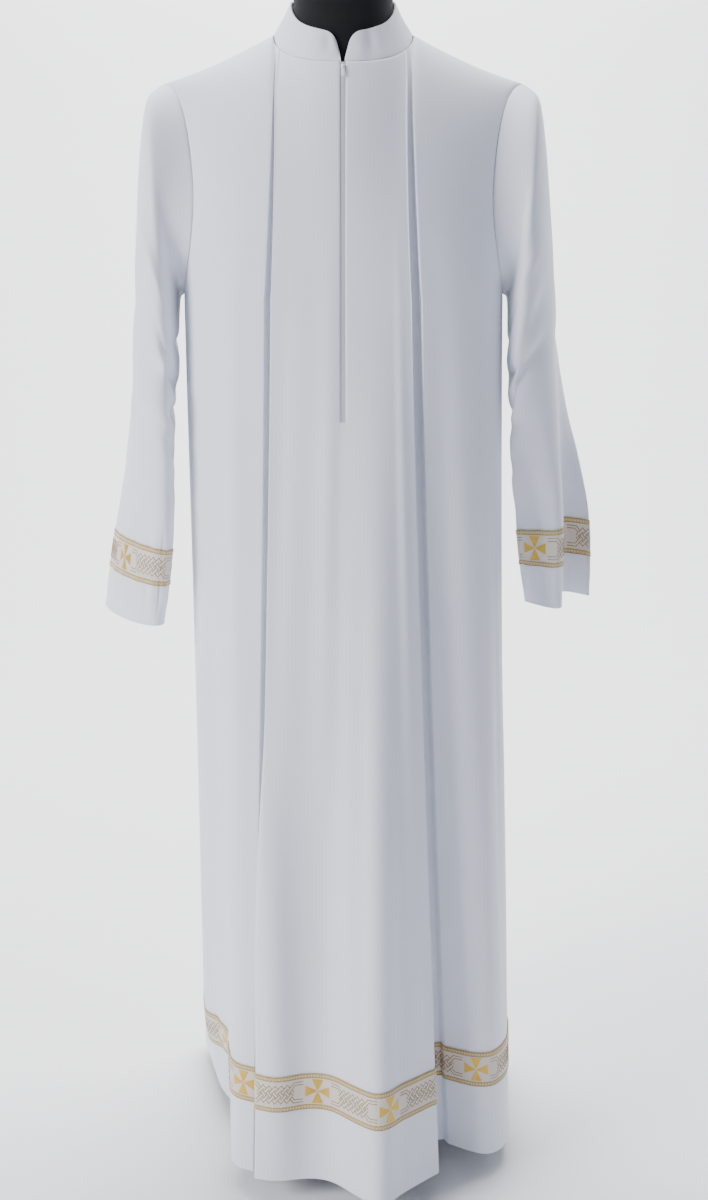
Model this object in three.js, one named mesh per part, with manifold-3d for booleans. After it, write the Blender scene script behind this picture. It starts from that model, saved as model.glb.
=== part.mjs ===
// A white alb on a black limbless dress form, in millimetres, +Z up, front towards -Y.
// Left and right are as seen from the front: left is -X.
// The origin is the centre of the stand's foot, on the floor.
import * as THREE from 'three';
import { mergeVertices } from 'three/addons/utils/BufferGeometryUtils.js';
import Module from 'manifold-3d';

const wasm = await Module();
wasm.setup();

// Cloth
const WALL = 1.5;
const COLLAR_WALL = 2;
const BAND_WALL = 1;
const SEAM_GAP = 0.3;

// Heights of the alb
const HEM_Z = 30;
const CHEST_Z = 1085;
const NECK_FRONT_Z = 1348;
const NECK_SIDE_Z = 1382;
const NECK_BACK_Z = 1394;
const SHOULDER_Z = 1328;

// Plan of the alb at the underarm, and of the neck seam
const CHEST_HALF_WIDTH = 190;
const CHEST_FRONT = 125;
const CHEST_BACK = 118;
const CHEST_FULLNESS = 0.8;
const SHOULDER_HALF_WIDTH = 210;
const SHOULDER_Y = 8;
const NECK_HALF_WIDTH = 81;
const NECK_FRONT = 80;
const NECK_BACK = 62;
const NECK_SWEEP = 1.3;
const NECK_ANGLE = 26;
const SHOULDER_ANGLE = 72;

// Armhole: how far round the body the panel reaches, in degrees from the centre line
const ARMHOLE_ANGLE = 64;
const ARMHOLE_TURN = 0.36;
const ARMHOLE_GAP = 0.5;

// Bands of galloon
const BAND_WIDTH = 45;
const HEM_TO_BAND = 90;
const CUFF_TO_BAND = 50;

// Collar
const COLLAR_RISE = 34;
const COLLAR_TOP_HALF_WIDTH = 61;
const COLLAR_TOP_FRONT = 63;
const COLLAR_TOP_BACK = 62;
const COLLAR_CORNER_BACK = 18;
const COLLAR_CORNER_SHAPE = 1.9;
const COLLAR_CORNER_REACH = 60;
const COLLAR_CORNER_DROP = 5;
const COLLAR_START = 0.3;

// Zip
const ZIP_END_Z = 950;
const ZIP_SLOT_HALF = 0.0046;
const ZIP_TAPE_HALF = 0.022;
const ZIP_TAPE_WALL = 1;
const ZIP_TAPE_TOP = 0.985;
const SLIDER = { width: 5, height: 8, depth: 2.6 };
const PULL = { width: 4.4, height: 13, thick: 1.1 };

// Dress form and stand
const FORM_INSET = 18;
const FORM_CLEARANCE = 2.1;
const NECK_RADIUS = 57.5;
const NECK_CENTRE_Y = 6;
const NECK_TOP_Z = 1450;
const TORSO_BOTTOM_Z = 650;
const POLE_RADIUS = 14;
const POLE_SIDES = 24;
const POLE_SOCKET_DEPTH = 160;
const SOCKET_CLEARANCE = 0.5;
const BASE_RADIUS = 145;
const BASE_THICKNESS = 12;
const BASE_EDGE = 3;
const BASE_SIDES = 48;
const BOSS_RADIUS = 24;
const BOSS_TOP_Z = 40;

const CLOTH = { color: 0xeef0f6, roughness: 0.75, metalness: 0 };
const GALLOON = { color: 0xd9cba6, roughness: 0.6, metalness: 0.1 };
const TAPE = { color: 0xd8d6de, roughness: 0.7, metalness: 0 };
const ENAMEL = { color: 0xf1f1f3, roughness: 0.35, metalness: 0.2 };
const FORM = { color: 0x141416, roughness: 0.8, metalness: 0 };
const STEEL = { color: 0x1c1c1e, roughness: 0.45, metalness: 0.6 };

// The folds of the skirt, one row for each, round the hem. "round" is where it hangs from on the
// panel at the underarm, from 0 at its first side seam to 1 at its second. x and y are its place
// at the hem, curlX and curlY what the last stretch above the hem adds to that, and tuck is how
// far the pleat is folded in at the underarm.
const FRONT_FOLDS = [
  { round: 0.0, x: -189, y: 35, curlX: 12, curlY: 0, tuck: 0 },
  { round: 0.045, x: -186, y: -12, curlX: 21, curlY: 4, tuck: 0 },
  { round: 0.08, x: -176, y: -48, curlX: 30, curlY: 10, tuck: 0 },
  { round: 0.12, x: -152, y: -84, curlX: 32, curlY: 10, tuck: 0 },
  { round: 0.18, x: -140, y: -122, curlX: 18, curlY: 2, tuck: 0 },
  { round: 0.24, x: -144, y: -164, curlX: 0, curlY: 0, tuck: 0 },
  { round: 0.285, x: -135, y: -189, curlX: 0, curlY: 0, tuck: 0 },
  { round: 0.345, x: -112, y: -201, curlX: 0, curlY: 0, tuck: 0 },
  { round: 0.349, x: -109, y: -184, curlX: 0, curlY: 0, tuck: 11 },
  { round: 0.365, x: -104, y: -183, curlX: 0, curlY: 0, tuck: 11 },
  { round: 0.369, x: -103, y: -216, curlX: 0, curlY: 0, tuck: 0 },
  { round: 0.4, x: -84, y: -220, curlX: 0, curlY: 0, tuck: 0 },
  { round: 0.44, x: -49, y: -216, curlX: 0, curlY: 0, tuck: 0 },
  { round: 0.478, x: -18, y: -224, curlX: 0, curlY: 0, tuck: 0 },
  { round: 0.515, x: 12, y: -249, curlX: 0, curlY: 0, tuck: 0 },
  { round: 0.54, x: 28, y: -264, curlX: 0, curlY: 0, tuck: 0 },
  { round: 0.56, x: 42, y: -273, curlX: 0, curlY: 0, tuck: 0 },
  { round: 0.58, x: 57, y: -262, curlX: 0, curlY: 0, tuck: 0 },
  { round: 0.606, x: 87, y: -232, curlX: 0, curlY: 0, tuck: 0 },
  { round: 0.631, x: 115, y: -204, curlX: 0, curlY: 0, tuck: 0 },
  { round: 0.635, x: 119, y: -131, curlX: 0, curlY: 0, tuck: 13 },
  { round: 0.651, x: 128, y: -129, curlX: 0, curlY: 0, tuck: 13 },
  { round: 0.655, x: 132, y: -139, curlX: 0, curlY: 0, tuck: 0 },
  { round: 0.7, x: 152, y: -152, curlX: 0, curlY: 0, tuck: 0 },
  { round: 0.76, x: 177, y: -165, curlX: 0, curlY: 0, tuck: 0 },
  { round: 0.83, x: 203, y: -145, curlX: 0, curlY: 0, tuck: 0 },
  { round: 0.89, x: 213, y: -106, curlX: 0, curlY: 0, tuck: 0 },
  { round: 1.0, x: 211, y: -20, curlX: 0, curlY: 0, tuck: 0 },
];
const BACK_FOLDS = [
  { round: 0.0, x: 211, y: -20, curlX: 0, curlY: 0, tuck: 0 },
  { round: 0.09, x: 206, y: 45, curlX: 0, curlY: 0, tuck: 0 },
  { round: 0.17, x: 212, y: 100, curlX: 2, curlY: 2, tuck: 0 },
  { round: 0.24, x: 184, y: 142, curlX: 0, curlY: 0, tuck: 0 },
  { round: 0.3, x: 150, y: 160, curlX: 0, curlY: 0, tuck: 0 },
  { round: 0.345, x: 121, y: 195, curlX: 0, curlY: 0, tuck: 0 },
  { round: 0.349, x: 117, y: 152, curlX: 0, curlY: 0, tuck: 12 },
  { round: 0.365, x: 109, y: 152, curlX: 0, curlY: 0, tuck: 12 },
  { round: 0.369, x: 105, y: 202, curlX: 0, curlY: 0, tuck: 0 },
  { round: 0.41, x: 68, y: 226, curlX: 0, curlY: 4, tuck: 0 },
  { round: 0.46, x: 30, y: 211, curlX: 0, curlY: 0, tuck: 0 },
  { round: 0.5, x: -6, y: 200, curlX: 0, curlY: 0, tuck: 0 },
  { round: 0.55, x: -44, y: 218, curlX: 0, curlY: 3, tuck: 0 },
  { round: 0.6, x: -82, y: 224, curlX: 0, curlY: 0, tuck: 0 },
  { round: 0.631, x: -108, y: 206, curlX: 0, curlY: 0, tuck: 0 },
  { round: 0.635, x: -112, y: 160, curlX: 0, curlY: 0, tuck: 12 },
  { round: 0.651, x: -120, y: 160, curlX: 0, curlY: 0, tuck: 12 },
  { round: 0.655, x: -124, y: 196, curlX: 0, curlY: 0, tuck: 0 },
  { round: 0.71, x: -157, y: 184, curlX: 0, curlY: 0, tuck: 0 },
  { round: 0.78, x: -190, y: 170, curlX: 0, curlY: 0, tuck: 0 },
  { round: 0.85, x: -203, y: 140, curlX: 2, curlY: 0, tuck: 0 },
  { round: 0.92, x: -194, y: 90, curlX: 4, curlY: 0, tuck: 0 },
  { round: 1.0, x: -189, y: 35, curlX: 12, curlY: 0, tuck: 0 },
];
const FRONT_NECK_COLUMNS = [0.333, 0.385, 0.42, 0.46, 0.485, 0.59];
const BACK_NECK_COLUMNS = [0.333, 0.39, 0.485, 0.665];
const CURL_HEIGHT = 170;
const LONGEST_STEP = 48;
const HANG = 1.2;

// Heights of the rows of the skirt, and how far up from the underarm the upper rows are.
const SKIRT_ROWS = [
  HEM_Z, 72, HEM_Z + HEM_TO_BAND, HEM_Z + HEM_TO_BAND + BAND_WIDTH, 245, 390, 570, 760, ZIP_END_Z,
];
const CHEST_ROWS = [0, 0.06, 0.14, 0.24, 0.37, 0.51, 0.66, 0.81, 0.93, 1];

// Sections down a sleeve, each a flat loop. crown is its edge away from the body, above the
// shoulder's line, and seam its edge by the body, under the arm: out from the centre line and up.
// y is its middle, wide its half size from front to back, turn how far its front edge is turned
// towards the body in degrees, and bend how far its middle line swings out into an S.
const LEFT_SLEEVE = [
  { crownOut: 228, crownZ: 1312, seamOut: 196, seamZ: 1081, y: 5, wide: 66, turn: 0, bend: 0 },
  { crownOut: 238, crownZ: 1262, seamOut: 197, seamZ: 1070, y: 4, wide: 70, turn: 3, bend: 0 },
  { crownOut: 244, crownZ: 1196, seamOut: 198, seamZ: 1048, y: 3, wide: 73, turn: 6, bend: 0 },
  { crownOut: 249, crownZ: 1122, seamOut: 199, seamZ: 1010, y: 2, wide: 76, turn: 9, bend: 0 },
  { crownOut: 254, crownZ: 1042, seamOut: 202, seamZ: 962, y: 1, wide: 78, turn: 13, bend: 2 },
  { crownOut: 259, crownZ: 962, seamOut: 207, seamZ: 912, y: 1, wide: 79, turn: 17, bend: 4 },
  { crownOut: 264, crownZ: 886, seamOut: 213, seamZ: 858, y: 0, wide: 79, turn: 21, bend: 2 },
  { crownOut: 270, crownZ: 816, seamOut: 221, seamZ: 804, y: -1, wide: 78, turn: 25, bend: 0 },
];
const LEFT_CUFF = {
  crownOut: 287, crownZ: 692, seamOut: 239, seamZ: 692, y: -2, wide: 76, turn: 30, bend: 0,
};
const RIGHT_SLEEVE = [
  { crownOut: 228, crownZ: 1312, seamOut: 196, seamZ: 1081, y: 5, wide: 66, turn: 0, bend: 0 },
  { crownOut: 238, crownZ: 1262, seamOut: 197, seamZ: 1070, y: 5, wide: 70, turn: 4, bend: 0 },
  { crownOut: 245, crownZ: 1196, seamOut: 198, seamZ: 1048, y: 6, wide: 73, turn: 8, bend: 0 },
  { crownOut: 251, crownZ: 1122, seamOut: 200, seamZ: 1010, y: 8, wide: 76, turn: 13, bend: 0 },
  { crownOut: 257, crownZ: 1042, seamOut: 204, seamZ: 962, y: 11, wide: 78, turn: 20, bend: 3 },
  { crownOut: 264, crownZ: 962, seamOut: 214, seamZ: 912, y: 14, wide: 76, turn: 29, bend: 10 },
  { crownOut: 271, crownZ: 886, seamOut: 230, seamZ: 858, y: 17, wide: 69, turn: 42, bend: 19 },
  { crownOut: 277, crownZ: 816, seamOut: 246, seamZ: 804, y: 20, wide: 57, turn: 57, bend: 30 },
];
const RIGHT_CUFF = {
  crownOut: 280, crownZ: 704, seamOut: 260, seamZ: 704, y: 22, wide: 45, turn: 71, bend: 39,
};
const SLEEVE_COLUMNS = 2 * (CHEST_ROWS.length - 1);
const COLLAR_ROWS = [0, 0.35, 0.7, 1];

// The form's columns, as angles from the centre line, and the rows of its lower body.
const FORM_ANGLES = [90, 81, SHOULDER_ANGLE, 60, 48, 36, NECK_ANGLE, 17, 8];
const FORM_LOWER_ROWS = [
  { z: TORSO_BOTTOM_Z, size: 0.8 },
  { z: TORSO_BOTTOM_Z + 10, size: 0.86 },
  { z: 740, size: 0.92 },
  { z: 830, size: 0.91 },
  { z: 920, size: 0.88 },
  { z: 1005, size: 0.93 },
];
const FORM_UPPER_ROWS = [0, 0.16, 0.33, 0.5, 0.66, 0.81, 0.93, 1];
const FORM_NECK_ROWS = [0.2, 0.5, 1];

const rad = THREE.MathUtils.degToRad;
const mix = THREE.MathUtils.lerp;

// A closed mesh from points and faces, with doubled points and flat triangles taken out.
function closedGeometry(points, triangles) {
  const flat = new Float32Array(triangles.length * 9);
  triangles.flat().forEach((corner, place) => points[corner].toArray(flat, place * 3));
  const loose = new THREE.BufferGeometry();
  loose.setAttribute('position', new THREE.BufferAttribute(flat, 3));
  const merged = mergeVertices(loose, 1e-3);
  const kept = [];
  for (let i = 0; i < merged.index.count; i += 3) {
    const [a, b, c] = [0, 1, 2].map((corner) => merged.index.getX(i + corner));
    if (a !== b && b !== c && c !== a) kept.push(a, b, c);
  }
  merged.setIndex(kept);
  merged.computeVertexNormals();
  return merged;
}

function addQuad(triangles, a, b, c, d) {
  triangles.push([a, b, c], [a, c, d]);
}

// Outward normals of a grid of points: grid[row][column], rows going up, columns going round.
function gridNormals(grid, closed) {
  const rows = grid.length;
  const columns = grid[0].length;
  const normals = grid.map((row) => row.map(() => new THREE.Vector3()));
  const lengths = grid.map((row) => row.map(() => 0));
  const lastColumn = closed ? columns : columns - 1;
  const across = new THREE.Vector3();
  const up = new THREE.Vector3();
  for (let r = 0; r < rows - 1; r += 1) {
    for (let c = 0; c < lastColumn; c += 1) {
      const next = (c + 1) % columns;
      across.subVectors(grid[r][next], grid[r][c]).add(grid[r + 1][next]).sub(grid[r + 1][c]);
      up.subVectors(grid[r + 1][c], grid[r][c]).add(grid[r + 1][next]).sub(grid[r][next]);
      const face = new THREE.Vector3().crossVectors(across, up).normalize();
      for (const [row, column] of [[r, c], [r, next], [r + 1, c], [r + 1, next]]) {
        normals[row][column].add(face);
        lengths[row][column] += 1;
      }
    }
  }
  // A corner's inner point lies further in than the wall's thickness, so that both sides keep it.
  const sharpest = 0.62;
  normals.forEach((row, r) => row.forEach((normal, c) => {
    const evenness = Math.max(normal.length() / lengths[r][c], sharpest);
    normal.normalize().divideScalar(evenness);
  }));
  return normals;
}

// A wall of cloth: the outer grid, and the same grid moved in. keep says which cells it has.
function wallGeometry(outer, normals, start, thickness, closed, keep) {
  const rows = outer.length;
  const columns = outer[0].length;
  const points = [];
  for (const depth of [start, start + thickness]) {
    outer.forEach((row, r) => row.forEach((point, c) => {
      points.push(point.clone().addScaledVector(normals[r][c], -depth));
    }));
  }
  const at = (side, r, c) => side * rows * columns + r * columns + ((c + columns) % columns);
  const lastColumn = closed ? columns : columns - 1;
  const has = (r, c) => {
    if (r < 0 || r >= rows - 1) return false;
    if (!closed && (c < 0 || c >= lastColumn)) return false;
    return keep ? keep(r, (c + columns) % columns) : true;
  };
  const triangles = [];
  for (let r = 0; r < rows - 1; r += 1) {
    for (let c = 0; c < lastColumn; c += 1) {
      if (!has(r, c)) continue;
      addQuad(triangles, at(0, r, c), at(0, r, c + 1), at(0, r + 1, c + 1), at(0, r + 1, c));
      addQuad(triangles, at(1, r, c), at(1, r + 1, c), at(1, r + 1, c + 1), at(1, r, c + 1));
      if (!has(r - 1, c)) addQuad(triangles, at(0, r, c), at(1, r, c), at(1, r, c + 1), at(0, r, c + 1));
      if (!has(r + 1, c)) {
        addQuad(triangles, at(0, r + 1, c), at(0, r + 1, c + 1), at(1, r + 1, c + 1), at(1, r + 1, c));
      }
      if (!has(r, c - 1)) addQuad(triangles, at(0, r, c), at(0, r + 1, c), at(1, r + 1, c), at(1, r, c));
      if (!has(r, c + 1)) {
        addQuad(triangles, at(0, r, c + 1), at(1, r, c + 1), at(1, r + 1, c + 1), at(0, r + 1, c + 1));
      }
    }
  }
  return closedGeometry(points, triangles);
}

// The chest line, the neck seam and the shoulder line, by the angle from the centre line.
// side is -1 on the front and 1 on the back, and the angle goes from -90 on the left.
function chestPoint(angle, side, inset) {
  const depth = (side < 0 ? CHEST_FRONT : CHEST_BACK) - inset;
  const x = (CHEST_HALF_WIDTH - inset) * Math.sin(rad(angle));
  const y = side * depth * Math.max(Math.cos(rad(angle)), 0) ** CHEST_FULLNESS;
  return new THREE.Vector3(x, y, CHEST_Z);
}

function neckPoint(turn, side) {
  const forward = 1 - Math.cos(rad(turn));
  const depth = side < 0 ? NECK_FRONT : NECK_BACK;
  const centreZ = side < 0 ? NECK_FRONT_Z : NECK_BACK_Z;
  const z = centreZ + (NECK_SIDE_Z - centreZ) * forward ** NECK_SWEEP;
  return new THREE.Vector3(
    NECK_HALF_WIDTH * Math.sin(rad(turn)),
    SHOULDER_Y + side * depth * Math.cos(rad(turn)),
    z,
  );
}

function topPoint(angle, side) {
  const size = Math.abs(angle);
  if (size <= NECK_ANGLE) return neckPoint((90 * angle) / NECK_ANGLE, side);
  const along = Math.min((size - NECK_ANGLE) / (SHOULDER_ANGLE - NECK_ANGLE), 1);
  const sag = 4 * Math.sin(Math.PI * along);
  return new THREE.Vector3(
    Math.sign(angle) * mix(NECK_HALF_WIDTH, SHOULDER_HALF_WIDTH, along),
    SHOULDER_Y,
    mix(NECK_SIDE_Z, SHOULDER_Z, along) - sag,
  );
}

// How far the surface has turned over at its top edge: level on the shoulder line.
function turnOver(angle) {
  const size = Math.min(Math.abs(angle) / NECK_ANGLE, 1);
  return rad(mix(58, 84, size ** 2));
}

// The body's surface above the underarm. up goes from 0 at the underarm to 1 at the top edge.
// inset draws the chest line in, and topInset the top edge.
function upperPoint(angle, side, up, inset = 0, topInset = 0) {
  const low = chestPoint(angle, side, inset);
  const high = topPoint(angle, side);
  const share = (2 * topInset) / NECK_HALF_WIDTH;
  high.x -= Math.sign(high.x) * Math.min(Math.abs(high.x) * share, 2 * topInset);
  high.y -= (high.y - SHOULDER_Y) * share;
  high.z -= topInset;
  const over = turnOver(angle);
  const inward = (1 - Math.cos(over * up)) / (1 - Math.cos(over));
  const upward = Math.sin(over * up) / Math.sin(over);
  return new THREE.Vector3(
    mix(low.x, high.x, inward),
    mix(low.y, high.y, inward),
    mix(low.z, high.z, upward),
  );
}

// The armhole's edge: far round at the underarm, in at its middle, and out at the shoulder.
function armholeAngle(up) {
  if (up < ARMHOLE_TURN) {
    const bend = Math.sin((Math.PI / 2) * (up / ARMHOLE_TURN)) ** 0.55;
    return mix(90, ARMHOLE_ANGLE, bend);
  }
  const rest = (up - ARMHOLE_TURN) / (1 - ARMHOLE_TURN);
  return mix(ARMHOLE_ANGLE, SHOULDER_ANGLE, rest ** 1.5);
}

// A column at any place round a panel, between two of its folds.
function columnAt(folds, round) {
  const after = folds.findIndex((fold) => fold.round > round);
  const [low, high] = [folds[after - 1], folds[after]];
  const share = (round - low.round) / (high.round - low.round);
  return Object.fromEntries(Object.keys(low).map((key) => [key, mix(low[key], high[key], share)]));
}

// The columns of a panel: one for each fold, with more between those that lie far apart.
function panelColumns(folds, extra) {
  const rounds = [...extra];
  folds.forEach((fold, i) => {
    rounds.push(fold.round);
    const next = folds[i + 1];
    if (!next) return;
    const steps = Math.ceil(Math.hypot(next.x - fold.x, next.y - fold.y) / LONGEST_STEP);
    for (let step = 1; step < steps; step += 1) rounds.push(mix(fold.round, next.round, step / steps));
  });
  rounds.sort((a, b) => a - b);
  const last = folds[folds.length - 1];
  return rounds.map((round) => (round >= last.round ? { ...last } : columnAt(folds, round)));
}

// Columns run on evenly in the middle of a panel and draw in to the armhole at its edges.
function panelAngle(column, side, up) {
  const across = 2 * column.round - 1;
  const even = mix(90, SHOULDER_ANGLE, up);
  const drawnIn = (even - armholeAngle(up)) * across ** 2;
  return across * (even - drawnIn) * -side;
}

// A point of the skirt: on the line from the underarm to the hem, plus the curl near the hem.
function skirtPoint(column, side, z) {
  const down = ((CHEST_Z - z) / (CHEST_Z - HEM_Z)) ** HANG;
  const high = tuckedPoint(column, side, 0);
  const curl = Math.max(0, 1 - (z - HEM_Z) / CURL_HEIGHT) ** 2;
  return new THREE.Vector3(
    mix(high.x, column.x, down) + column.curlX * curl,
    mix(high.y, column.y, down) + column.curlY * curl,
    z,
  );
}

// A point above the underarm, with the pleat's tuck fading out towards the shoulder.
function tuckedPoint(column, side, up) {
  const point = upperPoint(panelAngle(column, side, up), side, up);
  point.y -= side * column.tuck * (1 - up) ** 1.2;
  return point;
}

function panelGrid(columns, side) {
  const skirt = SKIRT_ROWS.map((z) => columns.map((column) => skirtPoint(column, side, z)));
  const chest = CHEST_ROWS.map((up) => columns.map((column) => tuckedPoint(column, side, up)));
  return [...skirt, ...chest];
}

// Side and shoulder seams: both panels share the direction of their walls there, and each
// draws back by half the seam's gap.
function closeSeams(front, back) {
  const last = front.grid[0].length - 1;
  const backLast = back.grid[0].length - 1;
  const share = (rowIndex, frontColumn, backColumn) => {
    const sum = front.normals[rowIndex][frontColumn].clone().add(back.normals[rowIndex][backColumn]);
    sum.normalize();
    front.normals[rowIndex][frontColumn].copy(sum);
    back.normals[rowIndex][backColumn].copy(sum);
  };
  for (let r = 0; r <= SKIRT_ROWS.length; r += 1) {
    share(r, last, 0);
    share(r, 0, backLast);
    for (const row of [front.grid[r], back.grid[r]]) {
      const ends = [[row[0], row[1]], [row[row.length - 1], row[row.length - 2]]];
      for (const [edge, inside] of ends) {
        const away = inside.clone().sub(edge).setLength(SEAM_GAP / 2);
        edge.add(away);
      }
    }
  }
}

// The shoulder line: the two walls end face to face there.
function closeShoulders(panel, side) {
  const top = panel.grid.length - 1;
  panel.grid[top].forEach((point, c) => {
    if (Math.abs(point.x) < NECK_HALF_WIDTH - 0.5) return;
    point.y += (side * SEAM_GAP) / 2;
    panel.normals[top][c].setComponent(1, 0).normalize();
  });
}

function makePanel(folds, side, extra) {
  const columns = panelColumns(folds, extra);
  const grid = panelGrid(columns, side);
  return { columns, grid, normals: gridNormals(grid, false) };
}

// The open stretch of the front above the end of the zip.
function zipSlot(columns) {
  const nearSlot = ({ round }) => Math.abs(round - 0.5) < ZIP_SLOT_HALF * 1.01;
  const firstRow = SKIRT_ROWS.indexOf(ZIP_END_Z);
  return (r, c) => !(r >= firstRow && nearSlot(columns[c]) && nearSlot(columns[c + 1]));
}

// A band sewn on a panel: two of its rows, moved out.
function bandGeometry(grid, normals, firstRow, closed) {
  const rows = grid.slice(firstRow, firstRow + 2);
  const out = normals.slice(firstRow, firstRow + 2);
  return wallGeometry(rows, out, -SEAM_GAP - BAND_WALL, BAND_WALL, closed);
}

// The loop round an armhole, from the shoulder down the front, under the arm and up the back,
// through the ends of the panels' rows.
function armholeLoop(sign) {
  const downFront = [...CHEST_ROWS].reverse().map((up) => ({ up, side: -1 }));
  const upBack = CHEST_ROWS.slice(1, -1).map((up) => ({ up, side: 1 }));
  return [...downFront, ...upBack].map(({ up, side }) => {
    const point = upperPoint(sign * armholeAngle(up), side, up);
    point.x += sign * ARMHOLE_GAP;
    return point;
  });
}

// One section of a sleeve, in the order of the armhole's loop: crown, front, seam, back.
function sleeveRing(section, sign) {
  const turn = rad(section.turn);
  const outward = new THREE.Vector3(sign * Math.cos(turn), -Math.sin(turn), 0);
  const forward = new THREE.Vector3(-sign * Math.sin(turn), -Math.cos(turn), 0);
  const deep = (section.crownOut - section.seamOut) / 2;
  const tall = (section.crownZ - section.seamZ) / 2;
  const middle = new THREE.Vector3(
    (sign * (section.crownOut + section.seamOut)) / 2,
    section.y,
    (section.crownZ + section.seamZ) / 2,
  );
  const ring = [];
  for (let i = 0; i < SLEEVE_COLUMNS; i += 1) {
    const angle = (2 * Math.PI * i) / SLEEVE_COLUMNS;
    const ahead = Math.sin(angle);
    const swing = section.bend * Math.sin(Math.PI * ahead);
    const point = middle.clone().addScaledVector(outward, deep * Math.cos(angle) + swing);
    point.addScaledVector(forward, section.wide * ahead);
    point.z += tall * Math.cos(angle);
    ring.push(point);
  }
  return ring;
}

// The sections of a sleeve, with its band's two rows between the last section and the cuff.
function sleeveGrid(sections, cuff, sign) {
  const last = sections[sections.length - 1];
  const blend = (height) => {
    const share = height / ((last.crownZ + last.seamZ) / 2 - cuff.crownZ);
    const keys = Object.keys(cuff);
    return Object.fromEntries(keys.map((key) => [key, mix(cuff[key], last[key], share)]));
  };
  const bandTop = blend(CUFF_TO_BAND + BAND_WIDTH);
  const bandBottom = blend(CUFF_TO_BAND);
  const rings = [...sections, bandTop, bandBottom, cuff].map((row) => sleeveRing(row, sign));
  const grid = [armholeLoop(sign), ...rings].reverse();
  return sign < 0 ? grid : grid.map((row) => [row[0], ...row.slice(1).reverse()]);
}

function makeSleeve(sections, cuff, sign) {
  const grid = sleeveGrid(sections, cuff, sign);
  const normals = gridNormals(grid, true);
  // At the armhole the wall's edge faces the panel's edge.
  for (const normal of normals[normals.length - 1]) {
    normal.setComponent(0, 0).normalize();
  }
  return { grid, normals };
}

// The collar's columns stand on the panels' own columns, round the neck from the right of the
// front to its left. turn goes from 0 at the front to 180 at the back.
function collarColumns(frontColumns, backColumns) {
  const turnOf = ({ round }) => Math.abs(((2 * round - 1) * SHOULDER_ANGLE * 90) / NECK_ANGLE);
  const onNeck = (turn) => turn < 90.01;
  const ahead = frontColumns.filter(({ round }) => round > 0.5 + ZIP_SLOT_HALF / 2);
  const behind = backColumns.filter(({ round }) => round >= 0.5);
  const right = ahead.map(turnOf).filter(onNeck);
  const left = frontColumns.filter(({ round }) => round < 0.5 - ZIP_SLOT_HALF / 2);
  const rightBack = backColumns.filter(({ round }) => round < 0.5).map(turnOf).filter(onNeck);
  return [
    { turn: COLLAR_START, sign: 1 },
    ...right.map((turn) => ({ turn, sign: 1 })),
    ...rightBack.slice(1).map((turn) => ({ turn: 180 - turn, sign: 1 })),
    ...behind.map(turnOf).filter(onNeck).slice(0, -1).map((turn) => ({ turn: 180 - turn, sign: -1 })),
    ...left.map(turnOf).filter(onNeck).map((turn) => ({ turn, sign: -1 })),
    { turn: COLLAR_START, sign: -1 },
  ];
}

function collarPoint({ turn, sign }, height) {
  const radius = mix(NECK_HALF_WIDTH, COLLAR_TOP_HALF_WIDTH, height);
  const cornerShare = Math.max(0, 1 - (rad(turn) * radius) / COLLAR_CORNER_REACH);
  const drawBack = (COLLAR_CORNER_BACK / radius) * height ** COLLAR_CORNER_SHAPE * cornerShare;
  const angle = rad(turn) + drawBack;
  const side = angle < Math.PI / 2 ? -1 : 1;
  const seam = neckPoint(THREE.MathUtils.radToDeg(side < 0 ? angle : Math.PI - angle), side);
  const topDepth = side < 0 ? COLLAR_TOP_FRONT : COLLAR_TOP_BACK;
  const topX = COLLAR_TOP_HALF_WIDTH * Math.sin(angle);
  const topY = NECK_CENTRE_Y + side * topDepth * Math.abs(Math.cos(angle));
  const lean = height ** 0.85;
  return new THREE.Vector3(
    sign * mix(seam.x, topX, lean),
    mix(seam.y, topY, lean),
    seam.z + SEAM_GAP + (COLLAR_RISE - COLLAR_CORNER_DROP * cornerShare ** 4) * height,
  );
}

function makeCollar(frontColumns, backColumns) {
  const columns = collarColumns(frontColumns, backColumns);
  const grid = COLLAR_ROWS.map((height) => columns.map((column) => collarPoint(column, height)));
  const normals = gridNormals(grid, false);
  // Its lower edge is level, so it stands on the panels' edges.
  for (const normal of normals[0]) normal.setZ(0).normalize();
  return { grid, normals };
}

// The zip's tape: a strip of the front panel, moved in behind its wall.
function zipTapeGeometry() {
  const used = [-1, 0, 1].map((place) => columnAt(FRONT_FOLDS, 0.5 + place * ZIP_TAPE_HALF));
  const low = [ZIP_END_Z + SEAM_GAP].map((z) => used.map((column) => skirtPoint(column, -1, z)));
  const rows = CHEST_ROWS.map((up) => Math.min(up, ZIP_TAPE_TOP));
  const high = rows.map((up) => used.map((column) => tuckedPoint(column, -1, up)));
  const grid = [...low, ...high];
  return wallGeometry(grid, gridNormals(grid, false), WALL + 2 * SEAM_GAP, ZIP_TAPE_WALL, false);
}

// Where the slider sits: on the front's surface just under the collar, facing out from it.
function sliderFrame() {
  const place = upperPoint(0, -1, 0.955, 0);
  const above = upperPoint(0, -1, 0.985, 0);
  const up = above.clone().sub(place).normalize();
  const out = new THREE.Vector3(0, -up.z, up.y);
  return { place, up, out };
}

// A rounded plate on the front's surface: width across, height up the cloth, depth out of it.
function plateOnFront(outline, depth, lift) {
  const { place, up, out } = sliderFrame();
  const plate = new THREE.ExtrudeGeometry(outline, { depth, bevelEnabled: false, curveSegments: 6 });
  const turn = new THREE.Matrix4().makeBasis(new THREE.Vector3(1, 0, 0), up, out);
  const origin = place.clone().addScaledVector(out, lift);
  return plate.applyMatrix4(turn.setPosition(origin));
}

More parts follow.
